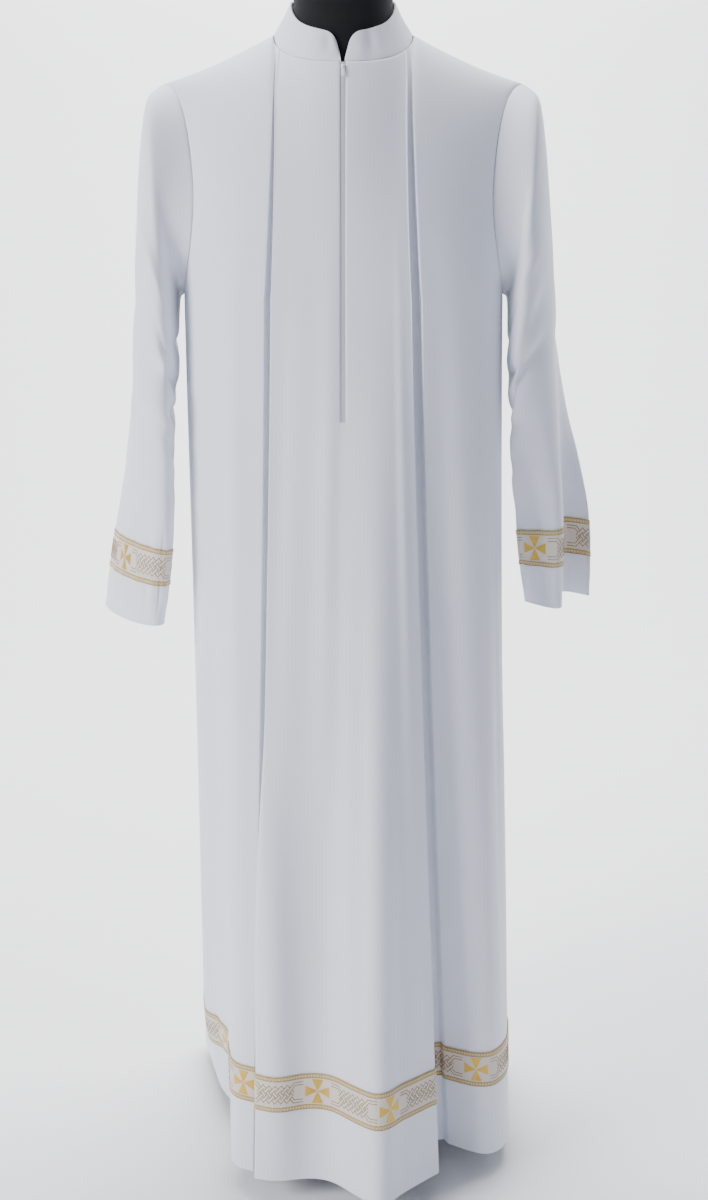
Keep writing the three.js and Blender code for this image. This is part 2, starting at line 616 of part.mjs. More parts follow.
function roundedOutline(width, low, high, radius) {
  const half = width / 2;
  const outline = new THREE.Shape();
  outline.moveTo(-half + radius, low);
  outline.lineTo(half - radius, low);
  outline.absarc(half - radius, low + radius, radius, -Math.PI / 2, 0);
  outline.absarc(half - radius, high - radius, radius, 0, Math.PI / 2);
  outline.absarc(-half + radius, high - radius, radius, Math.PI / 2, Math.PI);
  outline.absarc(-half + radius, low + radius, radius, Math.PI, Math.PI * 1.5);
  return outline;
}

// A teardrop tab that hangs from the slider's bridge, with its hinge line at the top.
function tearOutline() {
  const half = PULL.width / 2;
  const outline = new THREE.Shape();
  outline.moveTo(-half * 0.4, 0);
  outline.quadraticCurveTo(-half * 1.1, -PULL.height * 0.6, -half, -PULL.height + half);
  outline.absarc(0, -PULL.height + half, half, Math.PI, Math.PI * 2);
  outline.quadraticCurveTo(half * 1.1, -PULL.height * 0.6, half * 0.4, 0);
  return outline;
}

function zipSliderGeometry() {
  const outline = roundedOutline(SLIDER.width, -SLIDER.height / 2, SLIDER.height / 2, 1.6);
  return plateOnFront(outline, SLIDER.depth, -WALL + SEAM_GAP);
}

function zipPullGeometry() {
  return plateOnFront(tearOutline(), PULL.thick, -WALL + SLIDER.depth + 2 * SEAM_GAP);
}

// The form's columns, round from the left, over the front, to the right and over the back.
function formColumns() {
  const right = [...FORM_ANGLES].reverse();
  const front = [...FORM_ANGLES.map((angle) => -angle), 0, ...right].map((angle) => ({ angle, side: -1 }));
  const back = front.slice(1, -1).reverse().map(({ angle }) => ({ angle, side: 1 }));
  return [...front, ...back];
}

function formPoint({ angle, side }, up) {
  return upperPoint(angle, side, up, FORM_INSET, FORM_CLEARANCE);
}

// A point of the neck, above the neck seam by a share of the collar's height.
function formNeckPoint({ angle, side }, share) {
  const base = formPoint({ angle, side }, 1);
  const turn = rad((90 * angle) / NECK_ANGLE);
  const drawn = Math.sqrt(share);
  return new THREE.Vector3(
    mix(base.x, NECK_RADIUS * Math.sin(turn), drawn),
    mix(base.y, NECK_CENTRE_Y + side * NECK_RADIUS * Math.cos(turn), drawn),
    base.z + share * COLLAR_RISE,
  );
}

// The form under the cloth: the same surface drawn in, with a neck on top and a socket below.
function formTorsoGeometry() {
  const columns = formColumns();
  const points = [];
  const addRing = (ring) => ring.map((point) => points.push(point) - 1);
  const body = [
    ...FORM_LOWER_ROWS.map(({ z, size }) => columns.map((column) => {
      const point = formPoint(column, 0);
      return new THREE.Vector3(point.x * size, point.y * size, z);
    })),
    ...FORM_UPPER_ROWS.map((up) => columns.map((column) => formPoint(column, up))),
  ].map(addRing);
  const neckColumns = columns.filter(({ angle }) => Math.abs(angle) <= NECK_ANGLE);
  const neckTop = neckColumns.map((column) => formNeckPoint(column, 1).setZ(NECK_TOP_Z));
  const neck = [
    neckColumns.map((column) => formPoint(column, 1)),
    ...FORM_NECK_ROWS.map((share) => neckColumns.map((column) => formNeckPoint(column, share))),
    neckTop,
  ].map(addRing);
  const triangles = [];
  for (const rings of [body, neck]) {
    rings.slice(1).forEach((ring, r) => ring.forEach((corner, c) => {
      const next = (c + 1) % ring.length;
      addQuad(triangles, rings[r][c], rings[r][next], ring[next], corner);
    }));
  }
  const floor = points.push(new THREE.Vector3(0, 0, TORSO_BOTTOM_Z)) - 1;
  body[0].forEach((corner, c) => triangles.push([floor, body[0][(c + 1) % body[0].length], corner]));
  const lid = points.push(new THREE.Vector3(0, NECK_CENTRE_Y, NECK_TOP_Z)) - 1;
  const rim = neck[neck.length - 1];
  rim.forEach((corner, c) => triangles.push([lid, corner, rim[(c + 1) % rim.length]]));
  const socket = uprightCylinder(POLE_RADIUS + SOCKET_CLEARANCE, POLE_SOCKET_DEPTH * 2, TORSO_BOTTOM_Z);
  return geometryFrom(solidFrom(closedGeometry(points, triangles)).subtract(solidFrom(socket)));
}

function uprightCylinder(radius, height, middleZ) {
  return new THREE.CylinderGeometry(radius, radius, height, POLE_SIDES)
    .rotateX(Math.PI / 2)
    .translate(0, 0, middleZ);
}

function stand() {
  const foot = BASE_THICKNESS + SEAM_GAP;
  const top = TORSO_BOTTOM_Z + POLE_SOCKET_DEPTH - SEAM_GAP;
  return uprightCylinder(POLE_RADIUS, top - foot, (top + foot) / 2);
}

// A round foot with a low boss that takes the pole.
function standBaseGeometry() {
  const bore = POLE_RADIUS + SOCKET_CLEARANCE;
  const profile = [
    [0, 0], [BASE_RADIUS, 0], [BASE_RADIUS, BASE_THICKNESS - BASE_EDGE],
    [BASE_RADIUS - BASE_EDGE, BASE_THICKNESS], [BOSS_RADIUS, BASE_THICKNESS],
    [BOSS_RADIUS, BOSS_TOP_Z], [bore, BOSS_TOP_Z], [bore, BASE_THICKNESS], [0, BASE_THICKNESS],
  ].map(([radius, z]) => new THREE.Vector2(radius, z));
  return new THREE.LatheGeometry(profile, BASE_SIDES).rotateX(Math.PI / 2);
}

function solidFrom(geometry) {
  const bare = geometry.clone();
  bare.deleteAttribute('normal');
  bare.deleteAttribute('uv');
  const merged = mergeVertices(bare, 1e-3);
  return new wasm.Manifold(new wasm.Mesh({
    numProp: 3,
    vertProperties: merged.attributes.position.array,
    triVerts: new Uint32Array(merged.index.array),
  }));
}

function geometryFrom(solid) {
  const mesh = solid.getMesh();
  const geometry = new THREE.BufferGeometry();
  geometry.setAttribute('position', new THREE.BufferAttribute(new Float32Array(mesh.vertProperties), 3));
  geometry.setIndex([...mesh.triVerts]);
  geometry.computeVertexNormals();
  return geometry;
}

function addMesh(group, name, geometry, finish) {
  const mesh = new THREE.Mesh(geometry, new THREE.MeshStandardMaterial(finish));
  mesh.name = name;
  group.add(mesh);
}

const slotSides = [0.5 - ZIP_SLOT_HALF, 0.5 + ZIP_SLOT_HALF];
const neckHalf = NECK_ANGLE / SHOULDER_ANGLE / 2;
const neckSides = [0.5 - neckHalf, 0.5 + neckHalf];
const front = makePanel(FRONT_FOLDS, -1, [...slotSides, ...neckSides, ...FRONT_NECK_COLUMNS]);
const back = makePanel(BACK_FOLDS, 1, [...neckSides, ...BACK_NECK_COLUMNS]);
closeSeams(front, back);
closeShoulders(front, -1);
closeShoulders(back, 1);
const leftSleeve = makeSleeve(LEFT_SLEEVE, LEFT_CUFF, -1);
const rightSleeve = makeSleeve(RIGHT_SLEEVE, RIGHT_CUFF, 1);
const collar = makeCollar(front.columns, back.columns);
const bandRow = SKIRT_ROWS.indexOf(HEM_Z + HEM_TO_BAND);

const alb = new THREE.Group();
addMesh(alb, 'front', wallGeometry(front.grid, front.normals, 0, WALL, false, zipSlot(front.columns)), CLOTH);
addMesh(alb, 'back', wallGeometry(back.grid, back.normals, 0, WALL, false), CLOTH);
addMesh(alb, 'sleeve_left', wallGeometry(leftSleeve.grid, leftSleeve.normals, 0, WALL, true), CLOTH);
addMesh(alb, 'sleeve_right', wallGeometry(rightSleeve.grid, rightSleeve.normals, 0, WALL, true), CLOTH);
addMesh(alb, 'collar', wallGeometry(collar.grid, collar.normals, 0, COLLAR_WALL, false), CLOTH);
addMesh(alb, 'galloon_hem_front', bandGeometry(front.grid, front.normals, bandRow, false), GALLOON);
addMesh(alb, 'galloon_hem_back', bandGeometry(back.grid, back.normals, bandRow, false), GALLOON);
addMesh(alb, 'galloon_cuff_left', bandGeometry(leftSleeve.grid, leftSleeve.normals, 1, true), GALLOON);
addMesh(alb, 'galloon_cuff_right', bandGeometry(rightSleeve.grid, rightSleeve.normals, 1, true), GALLOON);
addMesh(alb, 'zip_tape', zipTapeGeometry(), TAPE);
addMesh(alb, 'zip_slider', zipSliderGeometry(), ENAMEL);
addMesh(alb, 'zip_pull', zipPullGeometry(), ENAMEL);

const dressForm = new THREE.Group();
addMesh(dressForm, 'form_torso', formTorsoGeometry(), FORM);
addMesh(dressForm, 'stand_pole', stand(), STEEL);
addMesh(dressForm, 'stand_base', standBaseGeometry(), STEEL);

const part = new THREE.Group();
part.add(alb, dressForm);
export default part;
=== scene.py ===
# A white alb with galloon bands, hanging on a black limbless dress form with a round foot.
# Shapes are worked out in millimetres, +Z up and the front towards -Y, and meshes are in metres.
# Left is -X, as seen from the front.
import math

import bpy
import numpy as np
from mathutils import Matrix, Vector


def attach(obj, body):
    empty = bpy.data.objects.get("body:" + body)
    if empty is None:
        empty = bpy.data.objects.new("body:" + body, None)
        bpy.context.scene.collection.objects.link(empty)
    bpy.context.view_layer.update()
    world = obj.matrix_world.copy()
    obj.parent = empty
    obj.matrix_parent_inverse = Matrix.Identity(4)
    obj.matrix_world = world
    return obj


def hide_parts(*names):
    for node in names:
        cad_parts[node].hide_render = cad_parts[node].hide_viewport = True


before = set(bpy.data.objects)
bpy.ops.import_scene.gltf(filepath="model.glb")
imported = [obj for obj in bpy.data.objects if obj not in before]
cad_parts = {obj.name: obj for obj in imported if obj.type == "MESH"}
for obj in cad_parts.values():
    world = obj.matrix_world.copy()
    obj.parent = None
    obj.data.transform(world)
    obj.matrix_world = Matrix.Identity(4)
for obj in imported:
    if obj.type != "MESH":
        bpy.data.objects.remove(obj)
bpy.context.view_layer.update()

mm = 0.001
frontSide, backSide = -1, 1
leftSide, rightSide = -1, 1


def mix(low, high, share):
    return low + (high - low) * share


def smoothStep(value):
    value = np.clip(value, 0, 1)
    return value * value * (3 - 2 * value)


def unit(vectors):
    return vectors / np.maximum(np.linalg.norm(vectors, axis=-1, keepdims=True), 1e-9)


def sinOf(angle):
    return np.sin(np.radians(angle))


def cosOf(angle):
    return np.cos(np.radians(angle))


def pointOf(x, y, z):
    return np.stack(np.broadcast_arrays(x, y, z), axis=-1).astype(float)


# The alb's own sizes, the same as the solids' but for the gap at the armholes, which is closed here

alb = {
    "hemZ": 30, "chestZ": 1085, "shoulderZ": 1328, "shoulderY": 8, "shoulderSag": 4,
    "neckFrontZ": 1348, "neckSideZ": 1382, "neckBackZ": 1394,
    "chestHalfWidth": 190, "chestFront": 125, "chestBack": 118, "chestFullness": 0.8,
    "shoulderHalfWidth": 210, "neckHalfWidth": 81, "neckFront": 80, "neckBack": 62, "neckSweep": 1.3,
    "neckAngle": 26, "shoulderAngle": 72,       # degrees round the body from the centre line
    "armholeAngle": 64, "armholeTurn": 0.36, "armholeGap": -0.4,
    "archMiddle": 58, "archSide": 84,           # degrees that the chest curves over on its way up
    "curlHeight": 170, "hang": 1.2,
    "cloth": 1.1,                               # thickness
    "seamRoll": 1.1, "seamReach": 4.5,          # cloth rolls in towards a seam
    "upperSpan": 300,                           # levels above the underarm, one for each mm or so
}


def chestPoint(angle, side, inset=0):
    depth = (alb["chestFront"] if side < 0 else alb["chestBack"]) - inset
    y = side * depth * np.maximum(cosOf(angle), 0) ** alb["chestFullness"]
    return pointOf((alb["chestHalfWidth"] - inset) * sinOf(angle), y, alb["chestZ"])


def neckPoint(turn, side):
    depth = alb["neckFront"] if side < 0 else alb["neckBack"]
    centreZ = alb["neckFrontZ"] if side < 0 else alb["neckBackZ"]
    z = mix(centreZ, alb["neckSideZ"], np.maximum(1 - cosOf(turn), 0) ** alb["neckSweep"])
    return pointOf(alb["neckHalfWidth"] * sinOf(turn), alb["shoulderY"] + side * depth * cosOf(turn), z)


def topPoint(angle, side):
    # the neck seam and, past it, the shoulder line
    size = np.abs(angle)
    along = np.clip((size - alb["neckAngle"]) / (alb["shoulderAngle"] - alb["neckAngle"]), 0, 1)
    sag = alb["shoulderSag"] * np.sin(np.pi * along)
    onShoulder = pointOf(np.sign(angle) * mix(alb["neckHalfWidth"], alb["shoulderHalfWidth"], along),
                         alb["shoulderY"], mix(alb["neckSideZ"], alb["shoulderZ"], along) - sag)
    onNeck = neckPoint(90 * np.clip(angle / alb["neckAngle"], -1, 1), side)
    return np.where((size <= alb["neckAngle"])[..., None], onNeck, onShoulder)


def upperPoint(angle, side, up, inset=0, topInset=0):
    # the body above the underarm: up goes from 0 there to 1 at the top edge
    angle, up = np.broadcast_arrays(np.asarray(angle, float), np.asarray(up, float))
    low = chestPoint(angle, side, inset)
    high = topPoint(angle, side)
    share = 2 * topInset / alb["neckHalfWidth"]
    high[..., 0] -= np.sign(high[..., 0]) * np.minimum(np.abs(high[..., 0]) * share, 2 * topInset)
    high[..., 1] -= (high[..., 1] - alb["shoulderY"]) * share
    high[..., 2] -= topInset
    turned = np.minimum(np.abs(angle) / alb["neckAngle"], 1) ** 2
    over = np.radians(mix(alb["archMiddle"], alb["archSide"], turned))
    point = mix(low, high, ((1 - np.cos(over * up)) / (1 - np.cos(over)))[..., None])
    point[..., 2] = mix(low[..., 2], high[..., 2], np.sin(over * up) / np.sin(over))
    return point


def armholeAngle(up):
    up = np.asarray(up, float)
    low = np.sin(np.pi / 2 * np.clip(up / alb["armholeTurn"], 0, 1)) ** 0.55
    rest = np.clip((up - alb["armholeTurn"]) / (1 - alb["armholeTurn"]), 0, 1) ** 1.5
    upper = mix(alb["armholeAngle"], alb["shoulderAngle"], rest)
    return np.where(up < alb["armholeTurn"], mix(90, alb["armholeAngle"], low), upper)


def panelAngle(around, side, up):
    across = 2 * around - 1
    even = mix(90, alb["shoulderAngle"], up)
    drawnIn = (even - armholeAngle(up)) * across ** 2
    return across * (even - drawnIn) * -side


def gentleCurve(at, values, wanted):
    # a smooth line through the values that never swings past them
    at, values, wanted = (np.asarray(numbers, float) for numbers in (at, values, wanted))
    shape = (-1,) + (1,) * (values.ndim - 1)
    steps = np.diff(at).reshape(shape)
    rises = np.diff(values, axis=0) / steps
    slopes = np.zeros_like(values)
    slopes[0], slopes[-1] = rises[0], rises[-1]
    if len(at) > 2:
        before, after = steps[:-1], steps[1:]
        same = rises[:-1] * rises[1:] > 0
        first = (2 * after + before) / np.where(same, rises[:-1], 1)
        second = (after + 2 * before) / np.where(same, rises[1:], 1)
        slopes[1:-1] = np.where(same, 3 * (before + after) / np.where(same, first + second, 1), 0)
    i = np.clip(np.searchsorted(at, wanted, side="right") - 1, 0, len(at) - 2)
    step = (at[i + 1] - at[i]).reshape(shape)
    share = (wanted - at[i]).reshape(shape) / step
    square, cube = share ** 2, share ** 3
    return ((2 * cube - 3 * square + 1) * values[i] + (cube - 2 * square + share) * step * slopes[i]
            + (3 * square - 2 * cube) * values[i + 1] + (cube - square) * step * slopes[i + 1])


# Sheets of cloth: grids of points with rows going up and columns going round


def gridNormals(points, closed):
    across = np.gradient(points, axis=1)
    if closed:  # the last column repeats the first
        ring = points[:, :-1]
        across = np.roll(ring, -1, axis=1) - np.roll(ring, 1, axis=1)
        across = np.concatenate([across, across[:, :1]], axis=1)
    return unit(np.cross(across, np.gradient(points, axis=0)))


def lengthsAlong(points, axis):
    steps = np.linalg.norm(np.diff(points, axis=axis), axis=-1)
    return np.concatenate([np.zeros_like(steps.take([0], axis)), np.cumsum(steps, axis=axis)], axis=axis)


def makeSheet(at, levels, points, closed=False):
    across = lengthsAlong(points, 1)
    return {
        "at": np.asarray(at, float), "levels": np.asarray(levels, float), "points": points,
        "normals": gridNormals(points, closed), "closed": closed,
        "across": across - across[:, across.shape[1] // 2][:, None], "along": lengthsAlong(points, 0),
    }


def movedOut(sheet, out):
    points = sheet["points"] + sheet["normals"] * out[..., None]
    return makeSheet(sheet["at"], sheet["levels"], points, sheet["closed"])


def onSheet(sheet, at, level, lift=0):
    # points on a sheet, lifted off it by so many millimetres
    at, level, lift = np.broadcast_arrays(*(np.asarray(numbers, float) for numbers in (at, level, lift)))

    def gridPlace(values, knots):
        place = np.interp(values, knots, np.arange(len(knots)))
        low = np.clip(place.astype(int), 0, len(knots) - 2)
        return low, (place - low)[..., None]

    c, columnShare = gridPlace(at, sheet["at"])
    r, rowShare = gridPlace(level, sheet["levels"])

    def between(grid):
        low = mix(grid[r, c], grid[r, c + 1], columnShare)
        high = mix(grid[r + 1, c], grid[r + 1, c + 1], columnShare)
        return mix(low, high, rowShare)

    return between(sheet["points"]) + unit(between(sheet["normals"])) * lift[..., None]


def standOut(creases, at, height):
    # how far the cloth stands out at each point, from listed soft ridges and troughs
    out = np.zeros(np.broadcast(at, height).shape)
    for start, lean, low, high, width, depth in creases:
        share = np.clip((height - low) / (high - low), 0, 1)
        centre = start + lean * share
        out += depth * np.sin(np.pi * share) ** 1.4 * np.exp(-((at - centre) / width) ** 2)
    return out


def seamDip(distance):
    return -alb["seamRoll"] * np.clip(1 - distance / alb["seamReach"], 0, 1) ** 2


# Making meshes


def pick(*pieces):
    bpy.ops.object.select_all(action="DESELECT")
    for piece in pieces:
        piece.select_set(True)
    bpy.context.view_layer.objects.active = pieces[-1]


def newPiece(name, vertices, faces):
    mesh = bpy.data.meshes.new(name)
    mesh.from_pydata((np.asarray(vertices) * mm).tolist(), [], [list(face) for face in faces])
    mesh.update()
    piece = bpy.data.objects.new(name, mesh)
    bpy.context.scene.collection.objects.link(piece)
    return piece


def addShape(name, operator, **settings):
    # one of Blender's own shapes, with its place, turn and scale applied
    bpy.ops.object.select_all(action="DESELECT")
    operator(**settings)
    piece = bpy.context.object
    piece.name = name
    bpy.ops.object.transform_apply(location=True, rotation=True, scale=True)
    return piece


def finishPiece(piece, node, materials, angle=40, body="garment"):
    # smooth but for its real edges, with its finish, riding on its body in place of its solid
    pick(piece)
    bpy.ops.object.shade_smooth_by_angle(angle=math.radians(angle))
    for material in materials:
        piece.data.materials.append(material)
    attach(piece, body)
    if node:
        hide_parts(node)
    return piece


def applyModifier(piece, kind, **settings):
    pick(piece)
    modifier = piece.modifiers.new(kind.lower(), kind)
    for name, value in settings.items():
        setattr(modifier, name, value)
    bpy.ops.object.modifier_apply(modifier=modifier.name)


def bevelEdges(piece, width, segments, angle=60):
    applyModifier(piece, "BEVEL", width=width, segments=segments, limit_method="ANGLE",
                  angle_limit=math.radians(angle))


def editWhole(piece, *operators):
    pick(piece)
    bpy.ops.object.mode_set(mode="EDIT")
    for operator in operators:
        bpy.ops.mesh.select_all(action="SELECT")
        operator()
    bpy.ops.object.mode_set(mode="OBJECT")


def editWhere(piece, test):
    # goes into edit mode with the vertices picked that pass the test by their place
    bpy.ops.object.mode_set(mode="EDIT")
    bpy.ops.mesh.select_mode(type="VERT")
    bpy.ops.mesh.select_all(action="DESELECT")
    bpy.ops.object.mode_set(mode="OBJECT")
    for vertex in piece.data.vertices:
        vertex.select = bool(test(vertex.co))
    bpy.ops.object.mode_set(mode="EDIT")


def clothPiece(name, sheet, thickness, keep=None):
    # the sheet's grid as a mesh with its own lengths as UV, then given its thickness inwards
    rows, columns = sheet["points"].shape[:2]
    used = columns - 1 if sheet["closed"] else columns
    r, c = np.meshgrid(np.arange(rows - 1), np.arange(columns - 1), indexing="ij")
    if keep is not None:
        r, c = r[keep], c[keep]
    r, c = r.ravel(), c.ravel()
    corners = [(r, c), (r, c + 1), (r + 1, c + 1), (r + 1, c)]
    faces = np.stack([row * used + column % used for row, column in corners], axis=1)
    piece = newPiece(name, sheet["points"][:, :used].reshape(-1, 3), faces)
    lengths = np.stack([sheet["across"], sheet["along"]], axis=-1)
    places = np.stack([lengths[row, column] for row, column in corners], axis=1)
    layer = piece.data.uv_layers.new(name="cloth")
    layer.data.foreach_set("uv", (places * mm).astype(np.float32).ravel())
    editWhole(piece, bpy.ops.mesh.delete_loose)
    applyModifier(piece, "SOLIDIFY", thickness=thickness * mm, offset=-1)
    return piece


# Materials


def hexColour(text):
    channels = [int(text[i:i + 2], 16) / 255 for i in (1, 3, 5)]
    return [c / 12.92 if c <= 0.04045 else ((c + 0.055) / 1.055) ** 2.4 for c in channels] + [1]


def addNode(tree, kind, inputs, **settings):
    # each input gets a value, or a link from another node's output
    node = tree.nodes.new(kind)
    for name, value in settings.items():
        setattr(node, name, value)
    for name, value in inputs.items():
        if isinstance(value, bpy.types.NodeSocket):
            tree.links.new(value, node.inputs[name])
        else:
            node.inputs[name].default_value = value
    return node


class Finish:
    # a material whose textures follow the sheet's own lengths or, off the sheets, the object
    def __init__(self, name, values, onCloth=False):
        self.material = bpy.data.materials.new(name)
        self.material.use_nodes = True
        self.tree = self.material.node_tree
        self.shader = self.tree.nodes["Principled BSDF"]
        for socket, value in values.items():
            self.shader.inputs[socket].default_value = value
        if onCloth:
            self.place = addNode(self.tree, "ShaderNodeUVMap", {}, uv_map="cloth").outputs["UV"]
        else:
            self.place = addNode(self.tree, "ShaderNodeTexCoord", {}).outputs["Object"]

    def noise(self, scale, detail, place=None):
        return addNode(self.tree, "ShaderNodeTexNoise", {
            "Scale": scale, "Detail": detail, "Vector": place or self.place}).outputs["Fac"]

    def wave(self, pitch, direction, distortion=0):
        # Blender's wave has 20 / (2 pi) crests a unit, and the pitch is in millimetres
        return addNode(self.tree, "ShaderNodeTexWave", {
            "Scale": math.pi / 10 / (pitch * mm), "Distortion": distortion, "Vector": self.place,
        }, bands_direction=direction).outputs["Fac"]

    def reckon(self, operation, *terms):
        return addNode(self.tree, "ShaderNodeMath", dict(enumerate(terms)), operation=operation).outputs[0]

    def blend(self, first, second, share):
        first, second = (hexColour(c) if isinstance(c, str) else c for c in (first, second))
        inputs = {0: share, 6: first, 7: second}
        return addNode(self.tree, "ShaderNodeMix", inputs, data_type="RGBA").outputs[2]

    def join(self, height, depth, strength, colour=None, rough=None):
        # the relief in mm, the colour, and the least and most roughness with what goes between them
        bump = addNode(self.tree, "ShaderNodeBump", {
            "Distance": depth * mm, "Strength": strength, "Height": height})
        self.tree.links.new(bump.outputs["Normal"], self.shader.inputs["Normal"])
        if colour:
            self.tree.links.new(colour, self.shader.inputs["Base Color"])
        if rough:
            between = addNode(self.tree, "ShaderNodeMapRange", {
                "To Min": rough[0], "To Max": rough[1], "Value": rough[2]})
            self.tree.links.new(between.outputs[0], self.shader.inputs["Roughness"])
        return self.material


whitePolyester = {
    "lit": "#EBEDF4", "shaded": "#E0E3EE",
    "threads": 0.9,       # mm from thread to thread, twice the real pitch so that it shows close up
    "threadRelief": 0.05, "slubLength": 40, "slubWidth": 1.6, "slubShare": 0.6, "cloudSize": 160,
}


def makePolyester():
    # plain woven polyester: smooth filament threads, a dull white with a soft cool sheen
    s = whitePolyester
    finish = Finish("wovenPolyester", {
        "Roughness": 0.62, "Sheen Weight": 0.22, "Sheen Roughness": 0.45, "Specular IOR Level": 0.35}, True)
    woven = finish.reckon("MULTIPLY", finish.wave(s["threads"], "X"), finish.wave(s["threads"], "Y"))
    stretched = addNode(finish.tree, "ShaderNodeMapping", {
        "Scale": (1000 / s["slubWidth"], 1000 / s["slubLength"], 1), "Vector": finish.place})
    slub = finish.noise(1, 2, stretched.outputs[0])
    height = finish.reckon("MULTIPLY_ADD", slub, s["slubShare"], woven)
    colour = finish.blend(s["lit"], s["shaded"], finish.noise(1000 / s["cloudSize"], 3))
    return finish.join(height, s["threadRelief"], 0.6, colour, (0.56, 0.7, slub))


galloonColours = {
    "ground": "#DDD5CC", "groundShade": "#CDC3B8", "border": "#C2A972", "borderShade": "#A88C56",
    "ribs": 1.1,   # mm from rib to rib of the weft, coarser than the real 0.5 so that it shows
    "borderWidth": 5.8, "width": 45,
}


def makeGalloonGround():
    # jacquard woven band: a matt ivory ground in fine cross ribs, with tan and gold borders
    s = galloonColours
    finish = Finish("jacquardIvory", {
        "Roughness": 0.6, "Sheen Weight": 0.25, "Sheen Roughness": 0.4, "Specular IOR Level": 0.4}, True)
    half = s["width"] / 2
    up = addNode(finish.tree, "ShaderNodeSeparateXYZ", {0: finish.place}).outputs["Y"]
    away = finish.reckon("ABSOLUTE", finish.reckon("SUBTRACT", up, half * mm))
    inBorder = finish.reckon("GREATER_THAN", away, (half - s["borderWidth"]) * mm)
    height = finish.reckon("MULTIPLY", finish.wave(s["ribs"], "X"), finish.wave(s["ribs"] * 0.8, "Y"))
    ground = finish.blend(s["ground"], s["groundShade"], finish.noise(700, 2))
    border = finish.blend(s["border"], s["borderShade"], height)
    return finish.join(height, 0.08, 0.7, finish.blend(ground, border, inBorder), (0.62, 0.46, inBorder))


def makeGilt(name, bright, deep, metallic, roughness):
    # flat gilt yarn floated over the ground: a metal film's glint broken up by fine satin ribs
    finish = Finish(name, {"Metallic": metallic})
    grain = finish.noise(260, 3)
    return finish.join(finish.wave(0.9, "Z", 0.6), 0.08, 0.6, finish.blend(bright, deep, grain),
                       (roughness - 0.08, roughness + 0.08, grain))


def makeThread():
    # spun polyester sewing thread: matt, a touch whiter than the cloth
    finish = Finish("sewingThread", {"Roughness": 0.75, "Sheen Weight": 0.2})
    twist = finish.noise(2500, 1)
    return finish.join(twist, 0.05, 1, finish.blend("#F1EEE8", "#DAD5CC", twist))


def makeZipTape():
    # knitted zip tape: fine upright ribs, duller than the cloth round it; its grey, darker than the tape's
    # own white, is painted shade for the slit that it lies in
    finish = Finish("shadedKnittedTape", {"Roughness": 0.8, "Sheen Weight": 0.15}, True)
    ribs = finish.wave(0.8, "X")
    loops = finish.reckon("ADD", ribs, finish.wave(1.1, "Y"))
    # both greys are painted shade for the slit, varied along the ribs
    return finish.join(loops, 0.07, 0.7, finish.blend("#BDB6C0", "#CFC9D2", ribs))


def makeEnamel():
    # white enamel baked on die-cast zinc: a thin hard gloss, a little uneven
    finish = Finish("bakedEnamel", {
        "Base Color": hexColour("#EEEEF1"), "Roughness": 0.28, "Coat Weight": 0.4, "Coat Roughness": 0.12})
    peel = finish.noise(900, 2)
    return finish.join(peel, 0.03, 0.4, rough=(0.22, 0.38, peel))


def makeJersey():
    # black cotton jersey stretched over a hard form: matt knitted wales with a faint grey nap
    finish = Finish("stretchedJersey", {
        "Roughness": 0.88, "Sheen Weight": 0.12, "Sheen Roughness": 0.5, "Specular IOR Level": 0.25})
    knit = finish.reckon("MULTIPLY", finish.wave(1.3, "X"), finish.wave(1.3, "Z"))
    return finish.join(knit, 0.12, 0.6, finish.blend("#08080A", "#151417", finish.noise(45, 5)))


def makePowderCoat():
    # black powder coat on steel: an even, fine orange peel with a low gloss
    finish = Finish("powderCoat", {"Base Color": hexColour("#161618")})
    return finish.join(finish.noise(650, 2), 0.08, 0.5, rough=(0.36, 0.55, finish.noise(22, 6)))


polyester = makePolyester()
galloonGround = makeGalloonGround()
brightGilt = makeGilt("giltYarn", "#E3BE55", "#C79B34", 0.55, 0.42)
dullGilt = makeGilt("giltOutline", "#A88A50", "#86693A", 0.25, 0.55)
paleGilt = makeGilt("giltChain", "#EADFC2", "#D8C79C", 0.15, 0.55)
thread = makeThread()
shadedKnittedTape = makeZipTape()
enamel = makeEnamel()
jersey = makeJersey()
powderCoat = makePowderCoat()
print("materials made")


# Front and back panels
# A row for each fold: where it hangs from round the panel (0 to 1), its x and y at the hem and,
# where they aren't 0, what the last stretch above the hem adds to x and y, and how far the pleat
# is tucked in at the underarm. A pressed pleat's middle edge also laps over it, all the way up.

